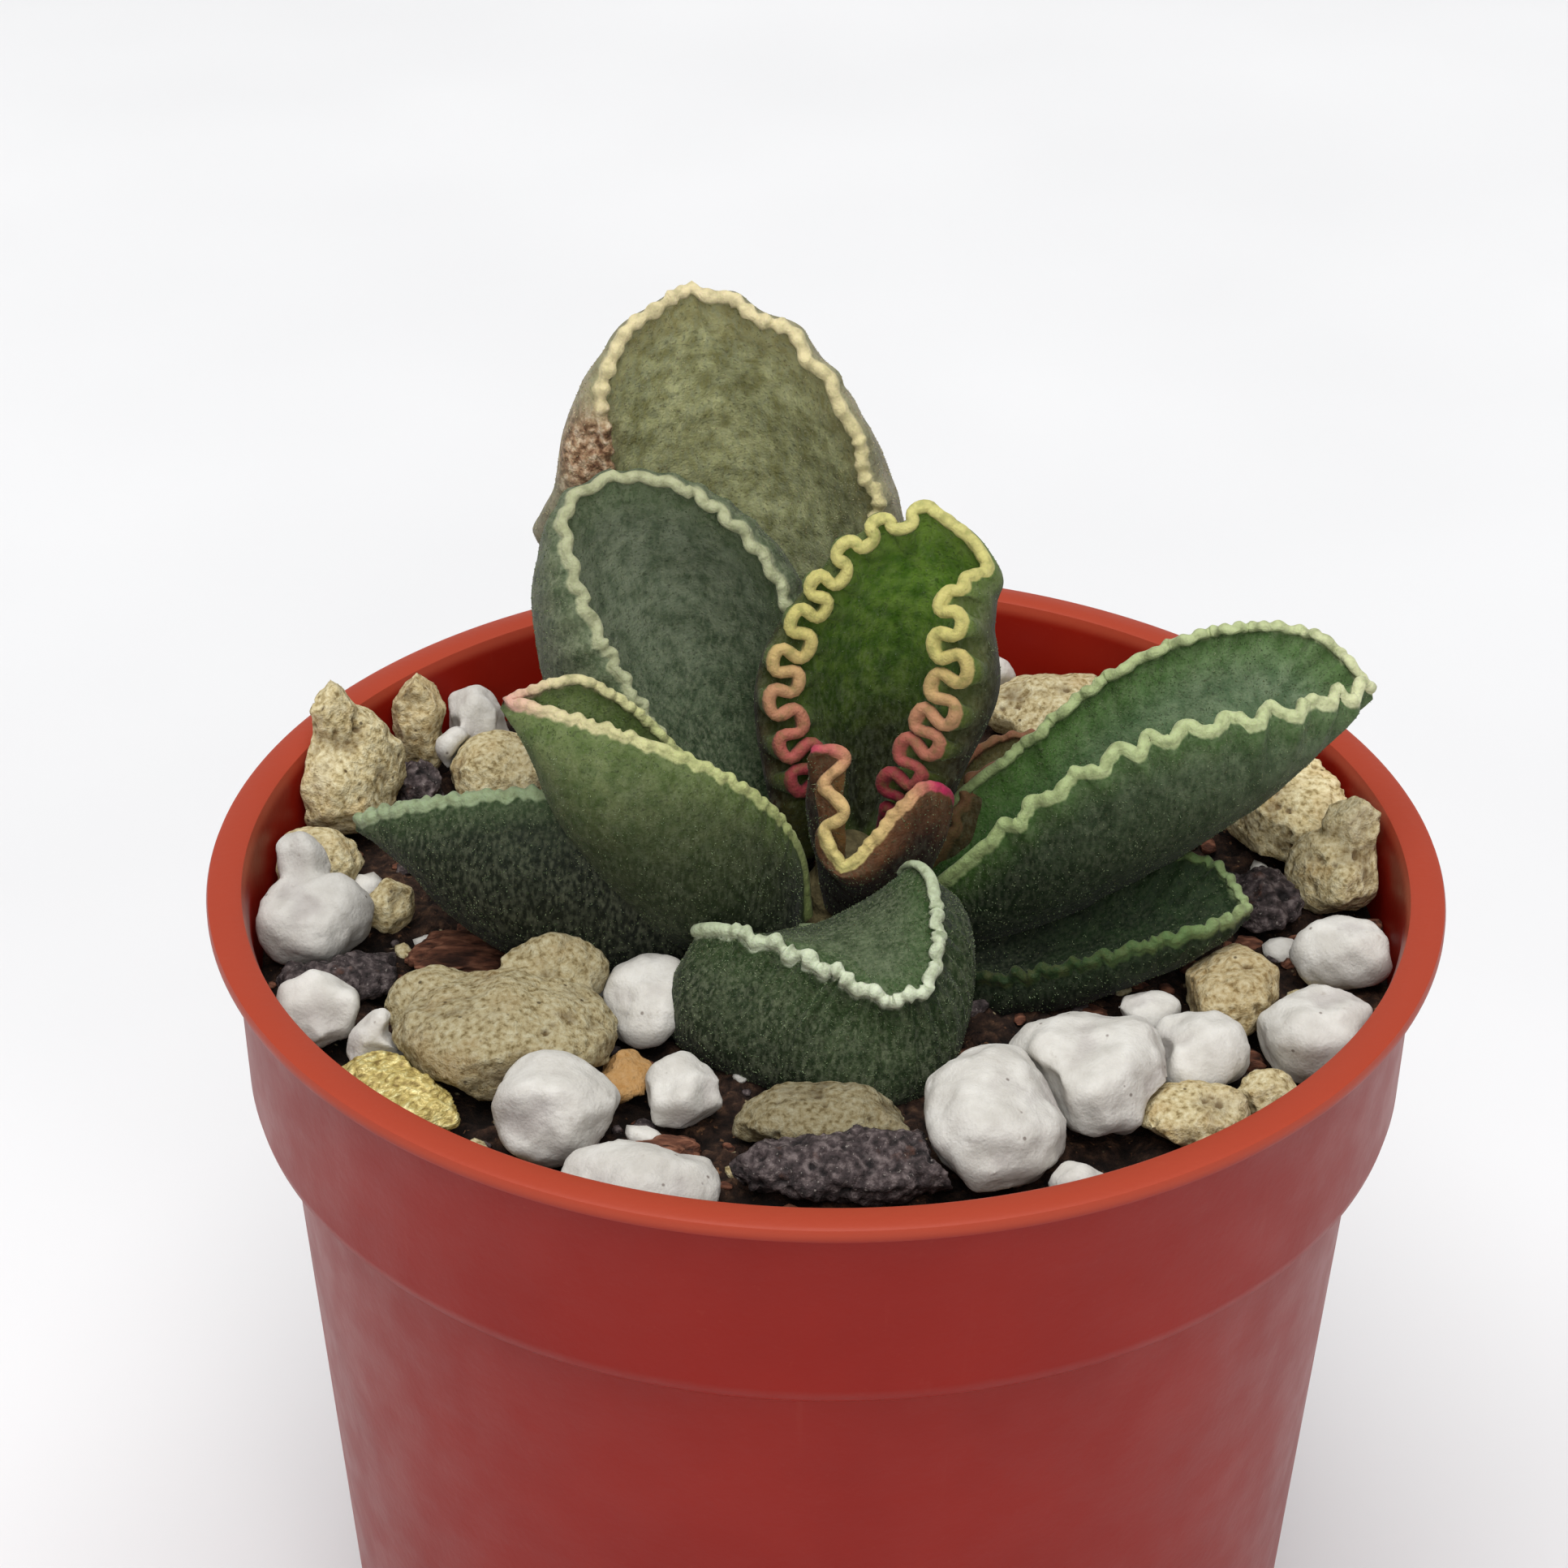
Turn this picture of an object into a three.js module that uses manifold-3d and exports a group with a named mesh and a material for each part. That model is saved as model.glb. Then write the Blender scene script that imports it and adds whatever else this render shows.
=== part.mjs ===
// A small succulent with thick, felted leaves and ropy waved leaf edges, in a round plastic
// nursery pot. Its dark potting mix is topped with pumice, perlite, lava, bark and vermiculite.
// Millimetres, +Z up. The origin is the centre of the pot's underside, and -Y is the front.
import * as THREE from "three";
import { mergeVertices } from "three/addons/utils/BufferGeometryUtils.js";
import Module from "manifold-3d";

const wasm = await Module();
wasm.setup();

// Clearance between neighbouring pieces
const GAP = 0.3;

// Pot
const POT_HEIGHT = 54;
const RIM_RADIUS = 30;
const LIP_WIDTH = 1.75;
const LIP_THICKNESS = 0.75;
const COLLAR_TOP_RADIUS = 28.85;
const COLLAR_FOOT_RADIUS = 28.55;
const COLLAR_HEIGHT = 10.1;
const SHOULDER_HEIGHT = 1.4;
const BODY_TOP_RADIUS = 26.9;
const BASE_RADIUS = 23.9;
const POT_WALL = 0.8;
const FLOOR_THICKNESS = 1.2;
const CORNER_RADIUS = 0.5;
const POT_SIDES = 40;
const DRAIN_HOLES = 6;
const DRAIN_HOLE_RADIUS = 2.3;
const DRAIN_RING_RADIUS = 15.5;

// Potting mix
const MIX_HEIGHT = 48.7;
const MIX_RELIEF = 0.35;
const MIX_SIDES = 36;
const MIX_RINGS = 7;

// Stem
const STEM_X = 1.3;
const STEM_Y = 0.6;
const STEM_RADIUS = 2.5;
const STEM_FOOT_HEIGHT = 41;
const STEM_TOP_HEIGHT = 54.6;
const STEM_SIDES = 14;

// Leaf mesh: samples for each wave of the edge, shares of the half width with a ring of
// vertices, and angles round the edge rope
const SAMPLES_PER_WAVE = 4;
const FEWEST_SAMPLES = 16;
const UPPER_SHARES = [0, 0.5, 0.84];
const LOWER_SHARES = [0.84, 0.5, 0];
const ROOM_SAMPLES = 12;
const ROPE_ANGLES = [62, -62];
const WAVE_REACH = 1.3;
const LOWER_WAVE_REACH = 0.7;

// What every leaf has unless its own entry says otherwise
const LEAF_DEFAULTS = {
  thickness: [2.6, 3.5, 1.4],
  edge: 0.75,
  rope: 0.34,
  waveHeight: 0.2,
  waveSides: [1, 1],
  waveTaper: 1,
  sway: [0, 0],
  wobble: 0.35,
  waveStart: 0.2,
  waveEnd: [1.2, 1.2],
  tipReach: 0.85,
  bulge: [0, 0],
  belly: [[0.4, 0.4, 0.4], [0.4, 0.4, 0.4]],
  roundness: 1.5,
  lens: 2.4,
  rounding: 1,
  drop: [0, 0, 0],
};

// Leaves. Left and right are as seen from the stem with the upper face up. Each edge and the
// midrib runs from the leaf's foot in the stem to its tip. Thickness is at foot, middle and tip,
// and so is belly, how far the lower face swells out sideways, first at the left, then at the right.
const LEAVES = {
  leaf_young: {
    left: [[0.7, 0.8, 54], [0, -0.6, 57], [-1, -0.8, 59.8], [-2, 0, 63], [-0.6, 1.4, 67], [1.8, 2.5, 70.1]],
    right: [
      [2.4, 0.8, 54],
      [2.9, -1.1, 57.6],
      [4.1, -1.8, 61],
      [5.6, -1.8, 65],
      [5.4, -0.9, 67.6],
      [6.2, 0.6, 69],
      [7.3, 1.8, 68.9],
      [6.7, 2.6, 69.8],
    ],
    midrib: [[1.6, 1.7, 53.6], [2.6, 3.4, 58], [4.4, 4.4, 65]],
    tip: [4.9, 3, 71.2],
    thickness: [1.6, 2.4, 1],
    belly: [[2.6, 1.8, 0.1], [1.8, 1.3, 0]],
    rope: 0.32,
    waves: 11,
    waveHeight: 0.75,
    sway: [-0.7, -0.05],
    wobble: 0.25,
    waveStart: 0.14,
    waveEnd: [1.2, 0.78],
    bulge: [0.5, 0.6],
    colour: 0x3f6b2c,
    waveTaper: 0.45,
  },
  leaf_bud: {
    left: [
      [3, -0.9, 52.5],
      [5.2, -2, 57],
      [5.7, -2.3, 58.9],
      [4.6, -2.9, 59.7],
      [2.5, -4, 57.9],
      [1.6, -4.4, 56.8],
    ],
    right: [
      [0.7, -0.9, 52.5],
      [0.1, -1.4, 58],
      [-0.2, -1.9, 60.9],
      [0.35, -2.4, 61.4],
      [0.5, -3, 60.2],
      [0.5, -3.7, 58.8],
      [0.3, -4.3, 57.3],
    ],
    midrib: [[1.8, -1.4, 52], [1.9, -2.6, 54]],
    tip: [0.9, -4.6, 56.4],
    thickness: [1.2, 1, 0.75],
    rope: 0.3,
    waves: 7,
    waveHeight: 0.5,
    waveSides: [0.1, 1],
    sway: [0.1, 0.1],
    waveStart: 0.52,
    lens: 3,
    colour: 0x7a4436,
    waveEnd: [1.2, 0.94],
  },
  leaf_front: {
    left: [
      [2.6, -2.8, 52.5],
      [3.9, -4.6, 56.3],
      [4.8, -6.8, 57.1],
      [5.1, -9, 56.5],
      [5.1, -11.2, 55.5],
      [4.5, -12.7, 54.7],
    ],
    right: [
      [-0.6, -3.4, 52],
      [-4, -5, 52.8],
      [-6, -7.2, 54.3],
      [-4.8, -8.6, 55.3],
      [-2.4, -10.2, 55.6],
      [1, -12.3, 55.1],
    ],
    midrib: [[1, -3.4, 52.5], [-0.3, -6.2, 54], [1, -9.6, 55]],
    tip: [2.8, -13.2, 54.5],
    thickness: [3.5, 7.2, 6.4],
    belly: [[1.3, 1.3, 1.2], [1.8, 1.9, 1.3]],
    rope: 0.38,
    waves: 6,
    waveHeight: 0.18,
    waveStart: 0.5,
    lens: 4,
    rounding: 0.6,
    drop: [0, -0.5, -1.2],
    colour: 0x66755c,
    roundness: 0.6,
  },
  leaf_front_left: {
    left: [[-0.8, -2.2, 52], [-1.3, -3, 56], [-2.9, -4.5, 59.6], [-5.6, -5.4, 62.1], [-10.3, -5.2, 64]],
    right: [
      [-2, -1, 52],
      [-4.8, -1.8, 57.5],
      [-7.2, -2.2, 61],
      [-8.9, -2.4, 63.1],
      [-10.2, -2.5, 64.2],
      [-11.7, -2.6, 65],
    ],
    midrib: [[-1.5, -1.4, 51.5], [-5, -2.8, 54.5], [-9.2, -3.6, 59.2]],
    tip: [-14.8, -3.6, 64.6],
    thickness: [3, 4.2, 1.4],
    rope: 0.32,
    waves: 7,
    waveHeight: 0.12,
    colour: 0x56693f,
  },
  leaf_right: {
    left: [[3.8, 2.2, 52], [6.4, 2.8, 55.5], [9.4, 3.4, 58], [13.9, 5, 61.4], [19, 6, 63.4], [23.6, 5, 63.8]],
    right: [[4, -1.4, 52], [6.2, -3, 55.2], [10.4, -3.6, 59.8], [15.3, -2.6, 62.3], [21.5, -0.3, 62.6]],
    midrib: [[4.2, 0.6, 51.5], [8, 0.6, 53.6], [15.5, 1.8, 57.6]],
    tip: [26.1, 2.6, 62.4],
    thickness: [3.2, 4.2, 1.8],
    rope: 0.36,
    waves: 10,
    waveHeight: 0.3,
    wobble: 0.6,
    colour: 0x4f6b48,
  },
  leaf_rear_left: {
    left: [[-1.6, 1.2, 52.6], [-5.2, -0.6, 57], [-8.6, -1.2, 62.6], [-10.6, -0.3, 66], [-12, 1.2, 69], [-12.3, 3.2, 71.2]],
    right: [[0, 2.6, 52.6], [-0.8, 2, 57], [-1.5, 2, 62.5], [-2.4, 3, 67], [-4.6, 4, 69.8], [-7.4, 4.6, 71.6]],
    midrib: [[-1, 2.8, 52], [-5.2, 5, 58], [-8.6, 6.2, 65]],
    tip: [-10.3, 4.6, 72.1],
    thickness: [3, 4.2, 1.6],
    rope: 0.32,
    waves: 7,
    waveHeight: 0.16,
    bulge: [1.6, 0.6],
    colour: 0x4d5f50,
    belly: [[0.4, 0.6, 0.2], [0.4, 0.4, 0.4]],
  },
  leaf_back: {
    left: [[-0.8, 5.8, 52], [-6.8, 9.2, 62], [-10.4, 8.2, 70], [-10.8, 8.8, 75], [-9.6, 10, 77.3]],
    right: [[1.6, 4.4, 52], [3.2, 6.8, 62], [2.2, 7.2, 68.8], [0.1, 8.9, 74.4], [-2.9, 10.5, 77.4]],
    midrib: [[0.3, 5.2, 51.5], [-2, 11, 60], [-4.6, 13, 70]],
    tip: [-6.8, 11.5, 78.8],
    thickness: [3, 4, 1.6],
    belly: [[0.6, 3.4, -1.6], [1.4, 0.9, 0.2]],
    rope: 0.36,
    waves: 9,
    waveHeight: 0.42,
    wobble: 0.5,
    bulge: [2, 0.1],
    colour: 0x7b7f5c,
    waveSides: [0.4, 1],
    sway: [-0.6, -0.6],
    waveTaper: 0.3,
  },
  leaf_left: {
    left: [[-2.8, -0.8, 51], [-6, -2.4, 57.6], [-10, -3.6, 59.6], [-14.1, -4.4, 60], [-18.7, -3.8, 59]],
    right: [[-3.4, 1.2, 51], [-7.5, 0.6, 54], [-12, 0.2, 56.2], [-17, -0.4, 57.2]],
    midrib: [[-3.2, 0, 50.6], [-7.5, -1.6, 52.6], [-14, -2.6, 54.2]],
    tip: [-22.3, -2.5, 57.4],
    thickness: [3, 4.2, 1.6],
    rope: 0.36,
    waves: 6,
    waveHeight: 0.1,
    colour: 0x3e5140,
  },
  leaf_lower_right: {
    left: [[4.4, -1, 50.8], [9, -0.8, 52.6], [14, -0.4, 54.2], [18.6, -1.6, 54.8]],
    right: [[3.8, -3.6, 50.8], [7.8, -5.6, 50.8], [11.2, -6.5, 52], [15.2, -6.4, 53.3], [18.7, -5.2, 53.8]],
    midrib: [[4, -2.2, 50.4], [9, -3.4, 50.4], [15, -3.6, 52]],
    tip: [20.2, -4, 53.9],
    thickness: [2.2, 2.2, 1.2],
    waves: 5,
    waveHeight: 0.14,
    colour: 0x33482f,
  },
  leaf_rear_right: {
    left: [[2.6, 3.6, 51.2], [5.4, 6.4, 53.4], [8.5, 9.2, 55.2]],
    right: [[4.4, 1.8, 50.8], [6, 1.9, 54.2], [7.2, 3.6, 56.4], [10.2, 6.2, 56.2]],
    midrib: [[3.8, 2.8, 50.2], [6.4, 5.4, 52.4]],
    tip: [12.7, 9.6, 55.4],
    thickness: [1.5, 2.4, 1.4],
    rope: 0.32,
    waves: 5,
    waveHeight: 0.12,
    colour: 0x5f5a38,
  },
};

// How each kind of grain is shaped: number of chipped flats, how deep they bite, how lumpy the
// rest is, and its colour
const GRAIN_KINDS = {
  pumice: { flats: 9, nearest: 0.8, farthest: 1.06, lumps: 0.09, colour: 0xc4b184 },
  perlite: { flats: 6, nearest: 0.88, farthest: 1.06, lumps: 0.11, colour: 0xe6e4e8 },
  lava: { flats: 8, nearest: 0.8, farthest: 1.05, lumps: 0.12, colour: 0x3d3538 },
  bark: { flats: 10, nearest: 0.7, farthest: 1, lumps: 0.05, colour: 0x5b3d2e },
  vermiculite: { flats: 8, nearest: 0.75, farthest: 1, lumps: 0.04, colour: 0xb89a52 },
};

// Grains, the most prominent first: name, place, height of the top, half sizes, turn in degrees
const GRAINS = [
  ["pumice_boulder", [-14.7, -11.3], 53.4, [4.9, 4.4], 8],
  ["pumice_left_peak", [-24.6, 9.8], 54.7, [3.2, 2.8], 20],
  ["pumice_back_left", [-21.6, 15.9], 54.9, [1.7, 1.6], 0],
  ["pumice_behind_leaf", [-16.9, 13.2], 52.5, [2.8, 2.5], 35],
  ["pumice_left_rim", [-25.8, 4], 52.2, [2.4, 2], 5],
  ["pumice_left_small", [-21.5, 0.3], 52, [1.4, 1.3], 40],
  ["pumice_orange", [-9.2, -13.4], 51.1, [1.5, 1.7], 15],
  ["pumice_front", [0.1, -17.2], 51.8, [4.3, 2.4], 3],
  ["pumice_right_flat", [19.5, -7], 52.7, [2.2, 2.8], 15],
  ["pumice_right_front", [17, -16.4], 51.7, [2.4, 2], 12],
  ["pumice_right_rim", [20.6, -14.2], 51.2, [1.8, 1.4], 0],
  ["pumice_right_knob", [25.6, 3.6], 53.2, [2.4, 2.3], 25],
  ["pumice_right_big", [23.6, 9.8], 53.6, [3.7, 3.6], 60],
  ["pumice_rear_right", [11.9, 20.8], 52.3, [3.5, 2.8], 15],
  ["pumice_rear_centre", [1.2, 17.5], 52.2, [3.2, 2.8], 30],
  ["vermiculite_rim", [-19.3, -15.6], 51.7, [3.4, 2.4], -38],
  ["perlite_left_knob", [-25, -1.9], 53.1, [2.9, 2.3], 0],
  ["perlite_back_left", [-18.7, 17.4], 53.2, [1.7, 1.9], 15],
  ["perlite_left_low", [-23.8, -9.6], 52.6, [2, 2], 30],
  ["perlite_left_double", [-20.6, -11.4], 52.3, [1.6, 1.5], 0],
  ["perlite_front_left", [-12.3, -17.4], 53.1, [2.9, 2.7], 20],
  ["perlite_inner_left", [-8.1, -8.4], 52.9, [2.1, 2.4], 0],
  ["perlite_inner_front", [-6.3, -15.5], 52.2, [2.2, 2], 45],
  ["perlite_front_rim", [-8, -22.4], 52.1, [3.5, 2.4], 5],
  ["perlite_front_tall", [7.7, -18.2], 54, [3.1, 3.8], 0],
  ["perlite_front_big", [12.3, -14.2], 53.7, [3.8, 3.7], -25],
  ["perlite_inner_right", [15.4, -7.6], 51.3, [1.6, 1.5], 10],
  ["perlite_right_front", [17.4, -11.7], 52.2, [2.4, 2.2], 30],
  ["perlite_right_pit", [23.2, -10.4], 53, [2.8, 2.5], 20],
  ["perlite_right_rim", [25.3, -3.3], 52.5, [2.5, 1.9], 0],
  ["perlite_front_right_rim", [11.6, -21.9], 51.5, [1.9, 1.4], -20],
  ["perlite_rear_rim", [8.9, 23.8], 52, [1.3, 1.3], 0],
  ["perlite_rear_right", [14.6, 17.4], 51, [1.7, 1.4], 10],
  ["perlite_rear_centre", [-5.6, 20.6], 52.3, [2.8, 2.4], 40],
  ["lava_left", [-21.2, 12.3], 51.6, [1.6, 1.5], 0],
  ["lava_left_flat", [-23.2, -5.1], 50.9, [3, 1.8], 10],
  ["lava_front_long", [2.4, -20.3], 51.9, [6, 2.2], 4],
  ["lava_right", [21.6, 2.2], 51.6, [2.2, 2.1], 35],
  ["bark_left", [-17.4, -2.4], 50.3, [3, 1.7], 20],
  ["bark_front", [-7.9, -18.9], 50.3, [2.7, 1.1], 12],
  ["pumice_rear_left", [-10, 20.2], 52.4, [3.2, 2.7], 25],
  ["perlite_rear_far", [4.6, 23.4], 51.8, [2.4, 2.1], 0],
  ["pumice_rear_far", [-1.4, 24.2], 52, [2.6, 1.9], 10],
  ["lava_rear", [-6.4, 15.8], 51, [2.2, 1.8], 60],
  ["perlite_right_rear", [17.8, 16.2], 51.8, [2.2, 2], 0],
  ["bark_rear_left", [-9.8, 15.4], 50.3, [3, 1.5], -30],
  ["lava_rear_right", [17.2, 12.2], 51, [2.3, 1.9], 20],
];
// Lobes that stand out of some grains: place of the middle and half sizes
const GRAIN_LOBES = {
  pumice_left_peak: [
    [[-24.8, 10, 53.5], [2.5, 2.2, 2.5]],
    [[-25.1, 10.1, 55.3], [1.6, 1.5, 2.2]],
  ],
  perlite_left_knob: [[[-25.7, 0.3, 53.2], [1.3, 1.2, 1.6]]],
  perlite_back_left: [[[-19.5, 14.8, 51.2], [1.2, 1.3, 1.3]]],
  pumice_right_knob: [[[26.3, 4.4, 53.1], [1.7, 1.5, 2]]],
  pumice_boulder: [
    [[-12.9, -7.8, 51.9], [2.6, 1.9, 1.9]],
    [[-18.2, -9.2, 51], [2.5, 2.3, 1.4]],
  ],
};
const LARGE_GRAIN = 4.5;
const SMALL_GRAIN = 2.35;

const POT_COLOUR = 0x9a3a2a;
const MIX_COLOUR = 0x2a2019;
const STEM_COLOUR = 0x5b6140;

// A repeatable number from 0 to 1 for a seed and a count
function chance(seed, count) {
  const turned = Math.sin(seed * 12.9898 + count * 78.233) * 43758.5453;
  return turned - Math.floor(turned);
}

function clamp(value, low, high) {
  return Math.min(high, Math.max(low, value));
}

// A closed solid from points and triangles, turned to face out
function solidFrom(points, triangles) {
  const vertProperties = new Float32Array(points.flatMap((p) => [p.x, p.y, p.z]));
  const make = (faces) =>
    new wasm.Manifold(new wasm.Mesh({ numProp: 3, vertProperties, triVerts: new Uint32Array(faces.flat()) }));
  const solid = make(triangles);
  if (solid.volume() > 0) return solid;
  return make(triangles.map(([a, b, c]) => [a, c, b]));
}

// The biggest body of a solid that a cut has left in pieces
function mainBody(solid) {
  return solid.decompose().sort((a, b) => b.volume() - a.volume())[0];
}

// A solid skinned over closed rings of points, with a point that closes each end
function skinnedSolid(rings, firstPoint, lastPoint) {
  const count = rings[0].length;
  const points = [...rings.flat(), firstPoint, lastPoint];
  const first = points.length - 2;
  const last = points.length - 1;
  const triangles = [];
  for (let k = 0; k < count; k++) {
    const next = (k + 1) % count;
    for (let r = 0; r + 1 < rings.length; r++) {
      const low = r * count;
      const high = low + count;
      triangles.push([low + k, low + next, high + next], [low + k, high + next, high + k]);
    }
    const end = (rings.length - 1) * count;
    triangles.push([first, next, k], [last, end + k, end + next]);
  }
  return solidFrom(points, triangles);
}

function circle(radius, height, sides, x = 0, y = 0) {
  return Array.from({ length: sides }, (_, k) => {
    const angle = (2 * Math.PI * k) / sides;
    return new THREE.Vector3(x + radius * Math.cos(angle), y + radius * Math.sin(angle), height);
  });
}

// A solid of revolution whose profile, a list of [radius, height], starts and ends at the axis
function turnedSolid(profile, sides, x = 0, y = 0) {
  const rings = profile.map(([radius, height]) => circle(radius, height, sides, x, y));
  const first = new THREE.Vector3(x, y, profile[0][1]);
  const last = new THREE.Vector3(x, y, profile.at(-1)[1]);
  return skinnedSolid(rings, first, last);
}

// The pot's inner wall from floor to rim, kept clear of it by an allowance
function innerWall(allowance) {
  const collarFoot = POT_HEIGHT - COLLAR_HEIGHT;
  const inset = POT_WALL + allowance;
  return [
    [BASE_RADIUS - inset + 0.1, FLOOR_THICKNESS],
    [BODY_TOP_RADIUS - inset, collarFoot - SHOULDER_HEIGHT],
    [COLLAR_FOOT_RADIUS - inset, collarFoot + POT_WALL * 0.6],
    [COLLAR_TOP_RADIUS - inset, POT_HEIGHT - LIP_THICKNESS],
    [RIM_RADIUS - LIP_WIDTH - allowance, POT_HEIGHT],
  ];
}

function makePot() {
  const collarFoot = POT_HEIGHT - COLLAR_HEIGHT;
  const lipFoot = POT_HEIGHT - LIP_THICKNESS;
  const outside = [
    [BASE_RADIUS - CORNER_RADIUS, 0],
    [BASE_RADIUS, CORNER_RADIUS],
    [BODY_TOP_RADIUS, collarFoot - SHOULDER_HEIGHT],
    [BODY_TOP_RADIUS + 0.9, collarFoot - SHOULDER_HEIGHT * 0.85],
    [COLLAR_FOOT_RADIUS - 0.15, collarFoot - SHOULDER_HEIGHT * 0.4],
    [COLLAR_FOOT_RADIUS, collarFoot + 0.1],
    [COLLAR_TOP_RADIUS, lipFoot],
    [RIM_RADIUS - 0.15, lipFoot],
    [RIM_RADIUS, lipFoot + 0.2],
    [RIM_RADIUS, POT_HEIGHT - 0.25],
    [RIM_RADIUS - 0.25, POT_HEIGHT],
  ];
  const shell = turnedSolid([...outside, ...innerWall(0).reverse()], POT_SIDES);
  const punch = turnedSolid([[DRAIN_HOLE_RADIUS, -1], [DRAIN_HOLE_RADIUS, FLOOR_THICKNESS + 1]], 12);
  let pot = shell;
  for (let k = 0; k < DRAIN_HOLES; k++) {
    const angle = (2 * Math.PI * (k + 0.5)) / DRAIN_HOLES;
    const x = DRAIN_RING_RADIUS * Math.cos(angle);
    const y = DRAIN_RING_RADIUS * Math.sin(angle);
    pot = pot.subtract(punch.translate([x, y, 0]));
  }
  return pot;
}

// Height of the mix's uneven surface
function mixHeight(x, y) {
  const swell = Math.sin(x * 0.31 + 1.7) * Math.cos(y * 0.27 - 0.6);
  const crumbs = Math.sin(x * 0.93 + y * 0.41) * Math.sin(y * 0.87 - x * 0.23 + 2.1);
  return MIX_HEIGHT + MIX_RELIEF * (0.6 * swell + 0.4 * crumbs);
}

function makeMix(raise) {
  const wall = innerWall(GAP);
  const [collarRadius] = wall[3];
  const sideRings = [
    [wall[0][0], FLOOR_THICKNESS + GAP],
    [wall[1][0], wall[1][1]],
    [wall[2][0], wall[2][1]],
  ].map(([radius, height]) => circle(radius, height, MIX_SIDES));
  const topRadius = wall[2][0] + (collarRadius - wall[2][0]) * 0.4;
  const topRings = Array.from({ length: MIX_RINGS }, (_, r) => {
    const radius = topRadius * (1 - r / MIX_RINGS);
    return circle(radius, 0, MIX_SIDES).map((p) => p.setZ(mixHeight(p.x, p.y) + raise));
  });
  const bottom = new THREE.Vector3(0, 0, FLOOR_THICKNESS + GAP);
  const top = new THREE.Vector3(0, 0, mixHeight(0, 0) + raise);
  return skinnedSolid([...sideRings, ...topRings], bottom, top);
}

function makeStem(grow) {
  const tall = STEM_TOP_HEIGHT - STEM_FOOT_HEIGHT;
  const profile = [
    [STEM_RADIUS * 0.8 + grow, STEM_FOOT_HEIGHT - grow],
    [STEM_RADIUS + grow, STEM_FOOT_HEIGHT + 1],
    [STEM_RADIUS + grow, STEM_FOOT_HEIGHT + tall * 0.7],
    [STEM_RADIUS * 0.85 + grow, STEM_FOOT_HEIGHT + tall * 0.85],
    [STEM_RADIUS * 0.45 + grow, STEM_TOP_HEIGHT + grow],
  ];
  return turnedSolid(profile, STEM_SIDES, STEM_X, STEM_Y);
}

// The waves of one edge of a leaf: their height, from -1 to 1, at a share of the edge's length
function makeWaves(leaf, seed) {
  const bounds = [0];
  for (let k = 0; k < leaf.waves; k++) {
    bounds.push(bounds[k] + 1 + 0.5 * leaf.wobble * (2 * chance(seed, k) - 1));
  }
  const heights = bounds.map((_, k) => 1 + leaf.wobble * (2 * chance(seed + 0.5, k) - 1));
  return (share) => {
    const place = share * bounds.at(-1);
    const k = clamp(bounds.findIndex((b) => b > place) - 1, 0, leaf.waves - 1) || 0;
    const cell = share >= 1 ? leaf.waves - 1 : k;
    const within = clamp((place - bounds[cell]) / (bounds[cell + 1] - bounds[cell]), 0, 1);
    const height = heights[cell] * (1 - within) + heights[cell + 1] * within;
    const onset = THREE.MathUtils.smoothstep(share - leaf.waveStart, 0, 0.1);
    return Math.sin(2 * Math.PI * within) * height * onset;
  };
}

// A size along a leaf, from its values at the foot, the middle and the tip
function lengthwise([foot, middle, tip], share) {
  return foot * (1 - share) + tip * share + 4 * share * (1 - share) * (middle - (foot + tip) / 2);
}

// Directions in a row, each turned towards its neighbours a number of times
function evened(directions, passes) {
  const last = directions.length - 1;
  const once = (row) =>
    row.map((direction, i) => {
      const before = row[Math.max(i - 1, 0)];
      const after = row[Math.min(i + 1, last)];
      return direction.clone().multiplyScalar(2).add(before).add(after).normalize();
    });
  let evener = directions;
  for (let pass = 0; pass < passes; pass++) {
    evener = once(evener);
  }
  return evener;
}

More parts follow.
